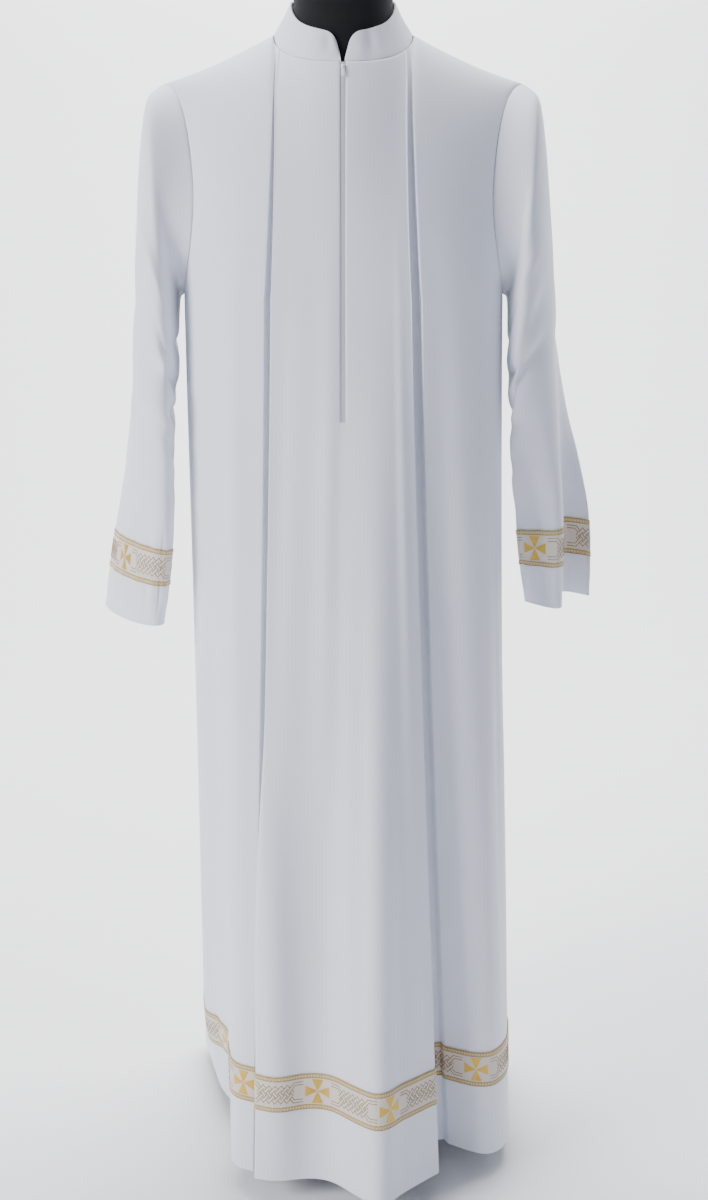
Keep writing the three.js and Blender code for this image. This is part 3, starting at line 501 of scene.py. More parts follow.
frontFolds = [
    (0.0, -189, 35, 12, 0, 0), (0.045, -186, -12, 21, 4, 0), (0.08, -176, -48, 30, 10, 0),
    (0.12, -152, -84, 32, 10, 0), (0.18, -140, -122, 18, 2, 0), (0.24, -144, -164), (0.285, -135, -189),
    (0.345, -112, -201), (0.349, -109, -184, 0, 0, 11), (0.365, -104, -183, 0, 0, 11), (0.369, -103, -216),
    (0.4, -84, -220), (0.44, -49, -216), (0.478, -18, -224), (0.515, 12, -249), (0.54, 28, -265),
    (0.56, 42, -276), (0.58, 57, -265), (0.606, 87, -232), (0.631, 115, -204), (0.635, 119, -131, 0, 0, 13),
    (0.651, 128, -129, 0, 0, 13), (0.655, 132, -139), (0.7, 152, -152), (0.76, 177, -165), (0.83, 203, -145),
    (0.89, 213, -106), (1.0, 211, -20),
]
backFolds = [
    (0.0, 211, -20), (0.09, 206, 45), (0.17, 212, 100, 2, 2, 0), (0.24, 184, 142), (0.3, 150, 160),
    (0.345, 121, 195), (0.349, 117, 152, 0, 0, 12), (0.365, 109, 152, 0, 0, 12), (0.369, 105, 202),
    (0.41, 68, 226, 0, 4, 0), (0.46, 30, 211), (0.5, -6, 200), (0.55, -44, 218, 0, 3, 0), (0.6, -82, 224),
    (0.631, -108, 206), (0.635, -112, 160, 0, 0, 12), (0.651, -120, 160, 0, 0, 12), (0.655, -124, 196),
    (0.71, -157, 184), (0.78, -190, 170), (0.85, -203, 140, 2, 0, 0), (0.92, -194, 90, 4, 0, 0),
    (1.0, -189, 35, 12, 0, 0),
]
pressedPleats = (0.345, 0.349, 0.365, 0.369, 0.631, 0.635, 0.651, 0.655)
pleatLaps = {"front": ((0.369, -6.5), (0.631, 2.5)), "back": ((0.369, -4), (0.631, 4))}
panels = {
    "lapReach": 26, "lapEdge": 3, "tuckFade": 1.2,
    "columnStep": 7, "pressedBend": 4, "softBend": 26, "softReach": 45, "fine": 0.5,
    "pressedColumns": (-5, -3.5, -2.4, -1.6, -0.8, 0, 0.8, 1.6, 2.4, 3.5, 5),
    "edgeColumns": (1.2, 2.4, 3.6, 5), "zipColumns": (0, 1, 2.2, 3.5, 5), "zipEndZ": 950, "zipHalf": 0.0046,
    "hemRowStep": 9, "hemRowsTop": 245, "skirtRowStep": 17, "chestRows": 40,
    "stillTop": 60, "stillSide": 14, "stillFold": 5, "zipDip": 0.8,
}
# Creases: where on the hem in mm from the panel's first seam, lean, low end, high end, half width
# and how far they stand out.
frontCreases = [
    (22, 18, 150, 980, 17, -3), (70, 6, -160, 560, 14, 2.5), (108, -14, 20, 330, 9, -3.2),
    (140, 10, 210, 1120, 15, -3.5), (176, 8, -200, 480, 13, 2.4), (196, 22, 90, 270, 6, -1.6),
    (232, -8, 330, 1230, 14, 3.5), (328, 5, 520, 1180, 9, -2.6), (352, -36, -60, 600, 20, 11),
    (390, 16, 380, 1240, 16, 3.2), (402, -8, -200, 620, 24, -5), (452, 12, 160, 860, 13, -2),
    (520, 14, -180, 700, 15, -2.6), (560, -10, 300, 1220, 13, 3), (571, 4, 60, 420, 7, -1.2),
    (707, -6, 350, 1210, 13, -3.2), (742, 8, -160, 620, 12, 2.2), (782, 14, 120, 930, 16, -3),
    (846, -12, -150, 760, 20, 2.6), (826, 6, 520, 1090, 15, -3.2),
]
backCreases = [
    (38, 8, -160, 720, 18, 2.6), (92, -12, 240, 1060, 17, -3.4), (146, 10, -120, 560, 15, -2.4),
    (192, -8, 320, 1220, 15, 3.2), (236, 6, 60, 460, 10, -1.8), (378, 14, 380, 1240, 15, -3.4),
    (420, -10, -180, 680, 18, -2.2), (462, 12, 260, 1260, 17, 3.4), (503, -4, -130, 500, 13, 2),
    (540, 8, 340, 1180, 15, -3), (580, -12, 120, 720, 12, 2.4), (700, 10, 300, 1220, 14, -3),
    (744, -8, -160, 610, 15, 2.6), (790, 6, 420, 1110, 16, -3.2), (838, 12, 40, 700, 17, 2.4),
]


def evened(values, span):
    # a moving average over so many millimetres of the hem
    reach = int(span / panels["fine"] / 2)
    padded = np.concatenate([
        2 * values[0] - values[reach:0:-1], values, 2 * values[-1] - values[-2:-reach - 2:-1]])
    even = np.ones(2 * reach + 1) / (2 * reach + 1)
    return np.stack([np.convolve(column, even, "valid") for column in padded.T], axis=1)


def hemCurve(folds):
    # the hem's line at close steps, smooth but for the pressed edges, which still bend a little
    table = np.array([row + (0,) * (6 - len(row)) for row in folds], float)
    at = np.concatenate([[0], np.cumsum(np.hypot(*np.diff(table[:, 1:3], axis=0).T))])
    fine = np.append(np.arange(0, at[-1], panels["fine"]), at[-1])
    pressed = [i for i, row in enumerate(folds) if row[0] in pressedPleats]
    corners = [0, *pressed, len(folds) - 1]
    values = np.zeros((len(fine), table.shape[1]))
    for low, high in zip(corners, corners[1:]):
        within = (fine >= at[low]) & (fine <= at[high])
        values[within] = gentleCurve(at[low:high + 1], table[low:high + 1], fine[within])
    fromPressed = np.min(np.abs(fine[:, None] - at[pressed][None, :]), axis=1)
    fromEnds = np.minimum(fine, fine[-1] - fine)
    softness = smoothStep(np.minimum(fromPressed, fromEnds) / panels["softReach"])[:, None]
    soft = evened(evened(values, panels["softBend"]), panels["softBend"])
    return fine, mix(evened(values, panels["pressedBend"]), soft, softness), at[pressed]


def panelColumns(whole, pressedAt, zipAt, withZip):
    # places round the hem: even ones, with more at the pressed edges, the sides and the zip
    s = panels
    even = np.linspace(0, whole, round(whole / s["columnStep"]) + 1)
    added = [pressed + offset for pressed in pressedAt for offset in s["pressedColumns"]]
    added += [edge for offset in s["edgeColumns"] for edge in (offset, whole - offset)]
    if withZip:
        added += [place for offset in s["zipColumns"] for place in (zipAt[0] - offset, zipAt[1] + offset)]
    added = np.array(added)
    clear = [place for place in even if np.min(np.abs(added - place)) > 0.4 * s["columnStep"]]
    at = np.unique(np.round(np.concatenate([added, clear, [0, whole]]), 3))
    at = at[np.concatenate([[True], np.diff(at) > 0.3])]
    at[-1] = whole
    return at


def panelSheets(folds, side, creases, laps, withZip):
    s = panels
    fine, values, pressedAt = hemCurve(folds)
    whole = fine[-1]
    zipAt = np.interp([0.5 - s["zipHalf"], 0.5 + s["zipHalf"]], values[:, 0], fine)
    at = panelColumns(whole, pressedAt, zipAt, withZip)
    around, hemX, hemY, curlX, curlY, tuck = [np.interp(at, fine, column) for column in values.T]
    skirtZ = np.unique(np.concatenate([
        [alb["hemZ"], alb["hemZ"] + 3], np.arange(alb["hemZ"] + 9, s["hemRowsTop"], s["hemRowStep"]),
        np.arange(s["hemRowsTop"] + 7, alb["chestZ"] - 8, s["skirtRowStep"]), [s["zipEndZ"]]]))
    edges = 1 - np.array(s["edgeColumns"][::-1] + (0,)) / alb["upperSpan"]
    ups = np.concatenate([np.linspace(0, edges[0] - 0.012, s["chestRows"]), edges])
    levels = np.concatenate([skirtZ, alb["chestZ"] + ups * alb["upperSpan"]])

    def tucked(up):
        points = upperPoint(panelAngle(around[None, :], side, up), side, up)
        points[..., 1] -= side * tuck * (1 - up) ** s["tuckFade"]
        return points

    chestLine = tucked(np.zeros((1, 1)))
    z = skirtZ[:, None]
    down = ((alb["chestZ"] - z) / (alb["chestZ"] - alb["hemZ"])) ** alb["hang"]
    curl = np.maximum(0, 1 - (z - alb["hemZ"]) / alb["curlHeight"]) ** 2
    skirt = pointOf(mix(chestLine[..., 0], hemX, down) + curlX * curl,
                    mix(chestLine[..., 1], hemY, down) + curlY * curl, z)
    points = np.concatenate([skirt, tucked(ups[:, None])])
    still = np.concatenate([np.ones(len(skirtZ)), smoothStep((1 - ups) / 0.3)])[:, None]
    for (edge, lap), edgeAt in zip(laps, (pressedAt[3], pressedAt[4])):
        inward = (at - edgeAt) * (1 if edge < 0.5 else -1)
        share = np.where(inward >= -1, np.exp(-(np.maximum(inward, 0) / s["lapReach"]) ** 2),
                         np.exp(-((inward + 1) / s["lapEdge"]) ** 2))
        points[..., 0] += lap * share * still
    plain = makeSheet(at, levels, points)
    # the creases stay clear of the top edge and the sides, and lie flat inside the pleats
    fromTop = plain["along"][-1] - plain["along"]
    calm = smoothStep(fromTop / s["stillTop"]) * smoothStep(np.minimum(at, whole - at) / s["stillSide"])
    for low, high in (pressedAt[[0, 3]], pressedAt[[4, 7]]):
        calm = calm * (1 - smoothStep((at - low) / s["stillFold"]) * smoothStep((high - at) / s["stillFold"]))
    creased = movedOut(plain, standOut(creases, at[None, :], points[..., 2]) * calm)
    across, along = creased["across"], creased["along"]
    fromSides = np.minimum(across - across[:, :1], across[:, -1:] - across)
    dip = np.minimum(seamDip(fromSides), seamDip(along[-1] - along))
    keep = None
    if withZip:
        opened = levels >= s["zipEndZ"] - 0.1
        fromZip = np.abs(at[:, None] - zipAt).min(axis=1)
        dip = dip + s["zipDip"] * seamDip(fromZip) * opened[:, None]
        inZip = (at[:-1] > zipAt[0] - 0.2) & (at[1:] < zipAt[1] + 0.2)
        keep = ~(opened[:-1, None] & inZip)
    return {"cloth": movedOut(creased, dip), "plain": creased, "keep": keep, "pressedAt": pressedAt,
            "zipAt": zipAt}


frontPanel = panelSheets(frontFolds, frontSide, frontCreases, pleatLaps["front"], True)
backPanel = panelSheets(backFolds, backSide, backCreases, pleatLaps["back"], False)
frontPiece = clothPiece("alb_front", frontPanel["cloth"], alb["cloth"], frontPanel["keep"])
backPiece = clothPiece("alb_back", backPanel["cloth"], alb["cloth"])
finishPiece(frontPiece, "front", [polyester])
finishPiece(backPiece, "back", [polyester])
print("front and back panels draped")


# Sleeves
# A row for each section: its edge away from the body and its edge by it (out from the centre line
# and up), its middle's y, half its width, the turn of its front edge and its swing into an S.

leftSections = [
    (228, 1312, 196, 1081, 5, 66, 0, 0), (238, 1262, 197, 1070, 4, 70, 3, 0),
    (244, 1196, 198, 1048, 3, 73, 6, 0), (249, 1122, 199, 1010, 2, 76, 9, 0),
    (254, 1042, 202, 962, 1, 78, 13, 2), (259, 962, 207, 912, 1, 79, 17, 4),
    (264, 886, 213, 858, 0, 79, 21, 2), (270, 816, 221, 804, -1, 78, 25, 0),
    (287, 692, 239, 692, -2, 76, 30, 0),
]
rightSections = [
    (228, 1312, 196, 1081, 5, 66, 0, 0), (238, 1262, 197, 1070, 5, 70, 4, 0),
    (245, 1196, 198, 1048, 6, 73, 8, 0), (251, 1122, 200, 1010, 8, 76, 13, 0),
    (257, 1042, 204, 962, 11, 78, 20, 3), (264, 962, 214, 912, 14, 76, 29, 10),
    (271, 886, 230, 858, 17, 69, 42, 19), (277, 816, 246, 804, 20, 57, 57, 30),
    (280, 704, 260, 704, 22, 45, 71, 39),
]
sleeves = {
    "columns": 132, "rowStep": 8, "cuffToBand": 50, "bandWidth": 45,
    "armholeUps": (1, 0.93, 0.81, 0.66, 0.51, 0.37, 0.24, 0.14, 0.06, 0), "stillTop": 50,
    "creaseShare": 1.7, "puckerShare": 1.7, "seamDitch": 0.9, "seamHalf": 3,
    "puckerLow": 46, "puckerHigh": 34, "puckerFade": 30, "puckerAbove": 0.7, "puckerOnBand": 0.35,
}
# Creases across a sleeve: angle from the crown in degrees, mm up from the cuff, half span in
# degrees, half width in mm, slant in mm over the half span, and how far they stand out.
leftSleeveCreases = [
    (70, 300, 46, 13, 18, -4.2), (62, 262, 40, 11, 14, 2.6), (118, 332, 38, 12, -16, -3.4),
    (150, 286, 44, 12, 10, -4.6), (200, 316, 40, 13, -14, -3.8), (240, 270, 46, 12, 16, -3),
    (110, 228, 34, 10, -12, -2.2), (20, 352, 40, 16, 12, -2), (170, 400, 36, 13, 18, -3.6),
    (60, 420, 36, 14, -14, 2.4), (255, 392, 34, 14, -16, -2.8), (325, 250, 36, 15, 10, -1.8),
    (100, 170, 40, 12, 14, -1.8), (285, 180, 38, 13, -12, -2),
]
rightSleeveCreases = [
    (66, 288, 44, 13, -18, -3.8), (112, 318, 40, 12, 16, -4.2), (150, 262, 42, 11, -12, -3.6),
    (196, 300, 44, 13, 14, -4.4), (246, 330, 42, 12, -16, -3.2), (90, 236, 36, 10, 12, -2.4),
    (30, 346, 38, 15, -12, -2.2), (175, 382, 38, 13, -18, -3.8), (68, 410, 36, 14, 14, 2.2),
    (262, 262, 40, 12, 14, -2.6), (330, 300, 34, 15, -10, -1.6), (230, 198, 38, 12, 12, -2),
    (110, 178, 36, 11, -10, -1.6),
]
# Small upright puckers under and over a cuff's band: angle, half width in degrees, relief.
cuffPuckers = [
    (8, 4, 0.7), (24, 3, -0.9), (37, 4, 0.8), (52, 3, -1.1), (66, 5, 0.9), (83, 3, -1.2), (96, 4, 1.1),
    (112, 3, -0.8), (126, 5, 0.9), (148, 4, -0.9), (165, 4, 0.7), (186, 5, -0.8), (204, 4, 0.9),
    (221, 3, -1.1), (238, 5, 0.8), (254, 3, -0.9), (270, 4, 1), (290, 4, -0.7), (310, 5, 0.8), (331, 4, -0.8),
    (348, 4, 0.6),
]


def sleeveRing(section, sign, angle):
    crownOut, crownZ, seamOut, seamZ, y, wide, turn, bend = section
    ahead = np.sin(angle)
    outward = np.array([sign * cosOf(turn), -sinOf(turn), 0])
    forward = np.array([-sign * sinOf(turn), -cosOf(turn), 0])
    middle = np.array([sign * (crownOut + seamOut) / 2, y, (crownZ + seamZ) / 2])
    swing = (crownOut - seamOut) / 2 * np.cos(angle) + bend * np.sin(np.pi * ahead)
    ring = middle + outward * swing[:, None] + forward * (wide * ahead)[:, None]
    ring[:, 2] += (crownZ - seamZ) / 2 * np.cos(angle)
    return ring


def armholeRing(sign, angle):
    folded = np.minimum(angle, 2 * np.pi - angle)
    up = gentleCurve(np.linspace(0, np.pi, len(sleeves["armholeUps"])), sleeves["armholeUps"], folded)
    ahead, behind = (upperPoint(sign * armholeAngle(up), side, up) for side in (frontSide, backSide))
    ring = np.where((angle <= np.pi)[:, None], ahead, behind)
    ring[:, 0] += sign * alb["armholeGap"]
    return ring


def awayFrom(degrees, centre):
    return (degrees - centre + 180) % 360 - 180


def sleeveSheet(sections, sign, creases):
    s = sleeves
    angle = np.linspace(0, 2 * np.pi, s["columns"] + 1)
    last, cuff = np.array(sections[-2:], float)
    fromCuff = (last[1] + last[3]) / 2 - cuff[1]
    bandRows = [mix(cuff, last, height / fromCuff)
                for height in (s["cuffToBand"], s["cuffToBand"] + s["bandWidth"])]
    rows = [cuff, *bandRows, *np.array(sections[-2::-1], float)]
    rings = np.stack([sleeveRing(row, sign, angle) for row in rows] + [armholeRing(sign, angle)])
    knots = np.concatenate([[0], np.cumsum(np.linalg.norm(np.diff(rings, axis=0), axis=-1).mean(axis=1))])
    top, bandLow, bandHigh = knots[-1], knots[1], knots[2]
    edge = top - np.array(panels["edgeColumns"][::-1] + (0,))
    levels = np.concatenate([[0, 2], np.arange(6, edge[0] - 4, s["rowStep"]), edge, knots[1:3]])
    levels = np.unique(levels)
    points = gentleCurve(knots, rings, levels)
    if sign > 0:
        points, angle = points[:, ::-1], angle[::-1]
    plain = makeSheet(np.arange(len(angle)), levels, points, closed=True)
    out = np.zeros(points.shape[:2])
    degrees = np.degrees(angle)
    rise = levels[:, None]
    for centre, level, span, width, slant, depth in creases:
        away = awayFrom(degrees, centre) / span
        ridge = np.exp(-((rise - level - slant * np.clip(away, -1.5, 1.5)) / width) ** 2)
        out += s["creaseShare"] * depth * ridge * np.exp(-away ** 2)
    fade = s["puckerFade"]
    below = smoothStep(rise / 26) * (rise <= bandLow) * smoothStep((rise - bandLow + s["puckerLow"]) / fade)
    above = (rise >= bandHigh) * smoothStep((bandHigh + s["puckerHigh"] - rise) / fade)
    puckered = below + s["puckerAbove"] * above + s["puckerOnBand"] * ((rise > bandLow) & (rise < bandHigh))
    for centre, width, relief in cuffPuckers:
        out += s["puckerShare"] * relief * np.exp(-(awayFrom(degrees, centre) / width) ** 2) * puckered
    out *= smoothStep((top - rise) / s["stillTop"])
    creased = movedOut(plain, out)
    fromSeam = creased["across"] - creased["across"][:, len(angle) // 2][:, None]
    dip = seamDip(creased["along"][-1] - creased["along"])
    dip = dip - s["seamDitch"] * np.exp(-(fromSeam / s["seamHalf"]) ** 2)
    return {"cloth": movedOut(creased, dip), "band": (bandLow, bandHigh)}


leftSleeve = sleeveSheet(leftSections, leftSide, leftSleeveCreases)
rightSleeve = sleeveSheet(rightSections, rightSide, rightSleeveCreases)
leftSleevePiece = clothPiece("alb_sleeve_left", leftSleeve["cloth"], alb["cloth"])
rightSleevePiece = clothPiece("alb_sleeve_right", rightSleeve["cloth"], alb["cloth"])
finishPiece(leftSleevePiece, "sleeve_left", [polyester])
finishPiece(rightSleevePiece, "sleeve_right", [polyester])
print("sleeves hung")


# Stand collar

collar = {
    "rise": 34, "topHalfWidth": 61, "topFront": 63, "topBack": 62, "middleY": 6, "lean": 0.85,
    "cornerBack": 4.5, "cornerShape": 1.3, "cornerReach": 60, "cornerDrop": 4, "cornerRound": 15, "gap": 0.3,
    "frontColumns": (1.4, 1.48, 1.6, 1.8, 2.1, 2.6, 3.3, 4.2, 5.3, 6.7, 8.3), "columns": 150,
    "thickness": 2, "edge": 0.8, "seamDip": 0.8,
    "heights": (0, 0.05, 0.12, 0.22, 0.33, 0.45, 0.57, 0.69, 0.8, 0.89, 0.95, 0.98, 1),
}
# Dents and bulges: degrees round from the front (+ is right), height, half span in degrees,
# half height, relief in mm.
collarDents = [
    (-13, 0.62, 4.5, 0.3, -1.9), (-30, 0.6, 9, 0.45, 0.8), (26, 0.6, 5, 0.36, -2.4), (16, 0.36, 5, 0.28, 1.2),
    (37, 0.6, 6, 0.5, 1.0), (-70, 0.5, 12, 0.4, -0.6), (92, 0.55, 13, 0.4, -0.7), (150, 0.5, 16, 0.4, 0.6),
    (-135, 0.5, 14, 0.45, -0.7),
]


def collarPoints(around, height):
    # around goes from 0 at the right of the front opening to 360 at its left
    s = collar
    sign = np.where(around <= 180, 1.0, -1.0)
    turn = np.minimum(around, 360 - around)
    radius = mix(alb["neckHalfWidth"], s["topHalfWidth"], height)
    fromEdge = np.radians(np.maximum(0, turn - s["frontColumns"][0]))
    cornerShare = np.maximum(0, 1 - fromEdge * radius / s["cornerReach"])
    angle = turn + np.degrees(s["cornerBack"] / radius * height ** s["cornerShape"] * cornerShare)
    ahead = angle < 90
    seam = np.where(ahead[..., None], neckPoint(np.minimum(angle, 90), frontSide),
                    neckPoint(180 - np.maximum(angle, 90), backSide))
    topY = s["middleY"] + np.where(ahead, -s["topFront"], s["topBack"]) * np.abs(cosOf(angle))
    lean = height ** s["lean"]
    inCorner = np.maximum(0, 1 - fromEdge * s["topHalfWidth"] / s["cornerRound"])
    roundDrop = s["cornerRound"] * (1 - np.sqrt(1 - inCorner ** 2))
    rise = (s["rise"] - s["cornerDrop"] * cornerShare ** 4 - roundDrop) * height
    return pointOf(sign * mix(seam[..., 0], s["topHalfWidth"] * sinOf(angle), lean),
                   mix(seam[..., 1], topY, lean), seam[..., 2] + s["gap"] + rise)


def collarSheet():
    near = np.array(collar["frontColumns"])
    around = np.concatenate([near, np.linspace(10, 350, collar["columns"]), 360 - near[::-1]])
    height = np.array(collar["heights"])
    rise = height[:, None]
    plain = makeSheet(around, height, collarPoints(*np.broadcast_arrays(around, rise)))
    out = collar["seamDip"] * seamDip(plain["along"])
    for centre, level, span, tall, relief in collarDents:
        out += relief * np.exp(-(awayFrom(around, centre) / span) ** 2 - ((rise - level) / tall) ** 2)
    return movedOut(plain, out)


collarCloth = collarSheet()
collarPiece = clothPiece("alb_collar", collarCloth, collar["thickness"])
bevelEdges(collarPiece, collar["edge"] * mm, 3, 55)
finishPiece(collarPiece, "collar", [polyester])
print("collar stood up")


# Galloon: the bands' ground, and their figures raised on it
# A traditional cross pattee and a four-strand interlace, charted in millimetres.

galloon = {
    "width": 45, "lift": 1.3, "thickness": 0.8, "hemToBand": 90, "rows": 11,
    "pitch": 107, "armLength": 15, "armEnd": 6.9, "armStart": 0.5, "armGap": 0.9, "armRelief": 0.35,
    "strandReach": 8.83, "strandStep": 7.5, "strandHalf": 1.75, "bracketHeight": 11, "bracketEnd": 35.7,
    "lineWidth": 1.25, "lineRelief": 0.38, "underGap": 2.5,
    "borderLines": (0.8, 5.7), "borderLineWidth": 1.0, "chainAt": 3.25, "chainPitch": 3.7, "chainSize": 1.35,
    "sunk": 0.12, "step": 3.5, "stitch": 2.5, "stitchPitch": 3.1, "stitchAt": 1.7, "stitchThick": 0.42,
    "frontPhase": 64, "backPhase": 20, "leftPhase": 188, "rightPhase": 216,
    "frontSlack": (44, 10), "backSlack": (0, 0),
}
bandHeights = np.linspace(0, galloon["width"], galloon["rows"])


def bandSheet(cloth, at, levels, closed=False):
    # measured along its middle and straight up, so that the pattern doesn't stretch
    points = onSheet(cloth, at[None, :], levels[:, None], galloon["lift"])
    arc = lengthsAlong(points, 1)[len(bandHeights) // 2]
    sheet = makeSheet(arc, bandHeights, points, closed)
    sheet["across"], sheet["along"] = np.broadcast_arrays(arc, bandHeights[:, None])
    return sheet


def bandOnPanel(panel, slack):
    # slack is the length that the figures gain in the left and the right pleat
    at = panel["plain"]["at"]
    sheet = bandSheet(panel["plain"], at, alb["hemZ"] + galloon["hemToBand"] + bandHeights)
    folds = np.interp([0, *panel["pressedAt"][[0, 3, 4, 7]], at[-1]], at, sheet["at"])
    sheet["marks"] = (folds + np.array([slack[0], slack[0], 0, 0, slack[1], slack[1]]), folds)
    return sheet


def bandOnSleeve(sleeve):
    cloth = sleeve["cloth"]
    ring = len(cloth["at"]) - 1
    fromJoin = (np.arange(ring + 1) + ring // 2) % ring  # the ends meet at the underarm seam
    sheet = bandSheet(cloth, fromJoin, mix(*sleeve["band"], bandHeights / galloon["width"]), True)
    sheet["marks"] = (sheet["at"][[0, -1]], sheet["at"][[0, -1]])
    return sheet


def besidePath(path, aside, sharpest):
    # a path moved aside, with its corners kept but for the sharpest
    directions = unit(np.diff(path, axis=0))
    after = np.vstack([directions, directions[-1:]])
    middle = unit(np.vstack([directions[:1], directions]) + after)
    reach = aside / np.maximum((middle * after).sum(axis=1, keepdims=True), sharpest)
    return path + np.stack([-middle[:, 1], middle[:, 0]], axis=1) * reach


class Relief:
    # gathers small closed solids that stand on a sheet, for one mesh with a few materials
    def __init__(self, sheet):
        self.sheet = sheet
        self.vertices, self.faces, self.finishes = [], [], []
        self.count = 0

    def place(self, at, level, lift):
        if "marks" in self.sheet:
            at = np.interp(at, *self.sheet["marks"])
        return onSheet(self.sheet, at, level, lift)

    def add(self, points, faces, finish):
        self.vertices.append(points)
        self.faces += [[corner + self.count for corner in face] for face in faces]
        self.finishes += [finish] * len(faces)
        self.count += len(points)

    def slab(self, at, level, relief, finish):
        # a raised plate over a grid of places
        rows, columns = at.shape
        size = rows * columns
        grid = np.arange(size).reshape(rows, columns)
        rim = np.concatenate([grid[0], grid[1:, -1], grid[-1, -2::-1], grid[-2:0:-1, 0]]).tolist()
        faces = [[a, size + a, size + b, b] for a, b in zip(rim, rim[1:] + rim[:1])]
        for a in grid[:-1, :-1].ravel().tolist():
            quad = [a, a + 1, a + 1 + columns, a + columns]
            faces += [quad, [size + corner for corner in reversed(quad)]]
        points = [self.place(at, level, lift).reshape(-1, 3) for lift in (relief, -galloon["sunk"])]
        self.add(np.concatenate(points), faces, finish)

    def line(self, path, width, relief, finish):
        # a raised line with a ridge, along places on the sheet
        path = np.asarray(path, float)
        places = [path[0]]
        for a, b in zip(path, path[1:]):
            steps = max(1, math.ceil(np.linalg.norm(b - a) / galloon["step"]))
            places += [mix(a, b, step / steps) for step in range(1, steps + 1)]
        places = np.array(places)
        edges = [(width / 2, -galloon["sunk"]), (0, relief), (-width / 2, -galloon["sunk"])]
        rings = [self.place(*besidePath(places, aside, 0.5).T, lift) for aside, lift in edges]
        end = 3 * len(places) - 3
        faces = [[a + i, a + j, a + j + 3, a + i + 3]
                 for a in range(0, end, 3) for i, j in ((0, 1), (1, 2), (2, 0))]
        faces += [[0, 2, 1], [end, end + 1, end + 2]]
        self.add(np.stack(rings, axis=1).reshape(-1, 3), faces, finish)

    def bead(self, at, level, size, relief, finish):
        # a small faceted lozenge
        corners = np.array([[-1, 0], [0, -1], [1, 0], [0, 1]], float) * size
        levels = [(1, -galloon["sunk"]), (0.45, relief)]
        points = [self.place(at + share * corners[:, 0], level + share * corners[:, 1], lift)
                  for share, lift in levels]
        faces = [[i, (i + 1) % 4, 4 + (i + 1) % 4, 4 + i] for i in range(4)]
        self.add(np.concatenate(points), faces + [[4, 5, 6, 7], [3, 2, 1, 0]], finish)

    def stitch(self, at, level, length, thick, finish):
        # one stitch along the sheet: a sliver that is thickest in its middle
        half, side = at + length / 2, thick / 2
        places = [(at, level, 0), (half, level + side, 0.1), (half, level, thick * 0.8),
                  (half, level - side, 0.1), (half, level, -0.1), (at + length, level, 0)]
        faces = [[end, a, b] for end, turn in ((0, -1), (5, 1)) for a, b in
                 ((i, i % 4 + 1)[::turn] for i in range(1, 5))]
        self.add(self.place(*np.transpose(places)), faces, finish)

    def piece(self, name):
        made = newPiece(name, np.concatenate(self.vertices), self.faces)
        made.data.polygons.foreach_set("material_index", self.finishes)
        return made


def addCross(relief, centre, low, high):
    # four arms that widen from the middle
    s = galloon
    middle = s["width"] / 2
    along = np.linspace(s["armGap"], s["armLength"], 5)
    wide = np.linspace(-1, 1, 5)[:, None] * np.linspace(s["armStart"], s["armEnd"], 5)
    x = np.linspace(-s["armEnd"], s["armEnd"], 13)
    start = np.interp(np.abs(x), [s["armStart"], s["armEnd"]], [s["armGap"], s["armLength"]])
    rise = mix(start, s["armLength"], np.linspace(0, 0.998, 4)[:, None])
    for sign in (-1, 1):
        lying = np.broadcast_arrays(centre + sign * along, middle + wide)
        standing = np.broadcast_arrays(centre + x, middle + sign * rise)
        if sign < 0:
            lying, standing = [grid[:, ::-1] for grid in lying], [grid[::-1] for grid in standing]
        for at, level in (lying, standing):
            if at.min() > low and at.max() < high:
                relief.slab(at, level, s["armRelief"], 0)


def strandPaths():
    # the interlace's strands, from its middle: two that run on as brackets, and a closed one
    reach, step, high = galloon["strandReach"], galloon["strandStep"], galloon["bracketHeight"]
    turn = (2 + high / reach) * step
    end = galloon["bracketEnd"]
    through = [(-end, high), (-turn, high), (-step, -reach), (step, reach), (turn, -high), (end, -high)]
    ring = [(-3 * step, 0), (-2 * step, reach), (0, -reach), (2 * step, reach), (3 * step, 0)]
    return [np.array(path) * (1, sign) for path in (through, ring) for sign in (1, -1)]


def strandLines():
    # both outlines of every strand, broken where it goes under another
    s = galloon
    spacing = s["strandStep"] / 2
    lines = []
    outlines = [(path, aside) for path in strandPaths() for aside in (-s["strandHalf"], s["strandHalf"])]
    for path, aside in outlines:
        beside = besidePath(path, aside, 0.3)
        run = [beside[0]]
        for start, end, besideEnd in zip(path, path[1:], beside[1:]):
            along = unit(end - start)
            left = np.array([-along[1], along[0]]) * aside
            crossings = range(math.ceil(start[0] / spacing), math.floor(end[0] / spacing) + 1)
            for k in crossings if abs(along[1]) > 0.1 else []:
                x = k * spacing
                y = start[1] + (x - start[0]) * along[1] / along[0]
                under = (along[1] < 0) == bool(k % 2)
                if under and abs(y) <= s["strandReach"] - 1 and abs(x) <= 3 * s["strandStep"] - 1:
                    lines.append([*run, left + (x, y) - along * s["underGap"]])
                    run = [left + (x, y) + along * s["underGap"]]
            run.append(besideEnd)
        lines.append(run)
    return [np.array(run) for run in lines if len(run) > 1]


interlace = strandLines()


def addInterlace(relief, centre, low, high):
    for line in interlace:
        places = line + [centre, galloon["width"] / 2]
        if places[:, 0].min() > low and places[:, 0].max() < high:
            relief.line(places, galloon["lineWidth"], galloon["lineRelief"], 1)


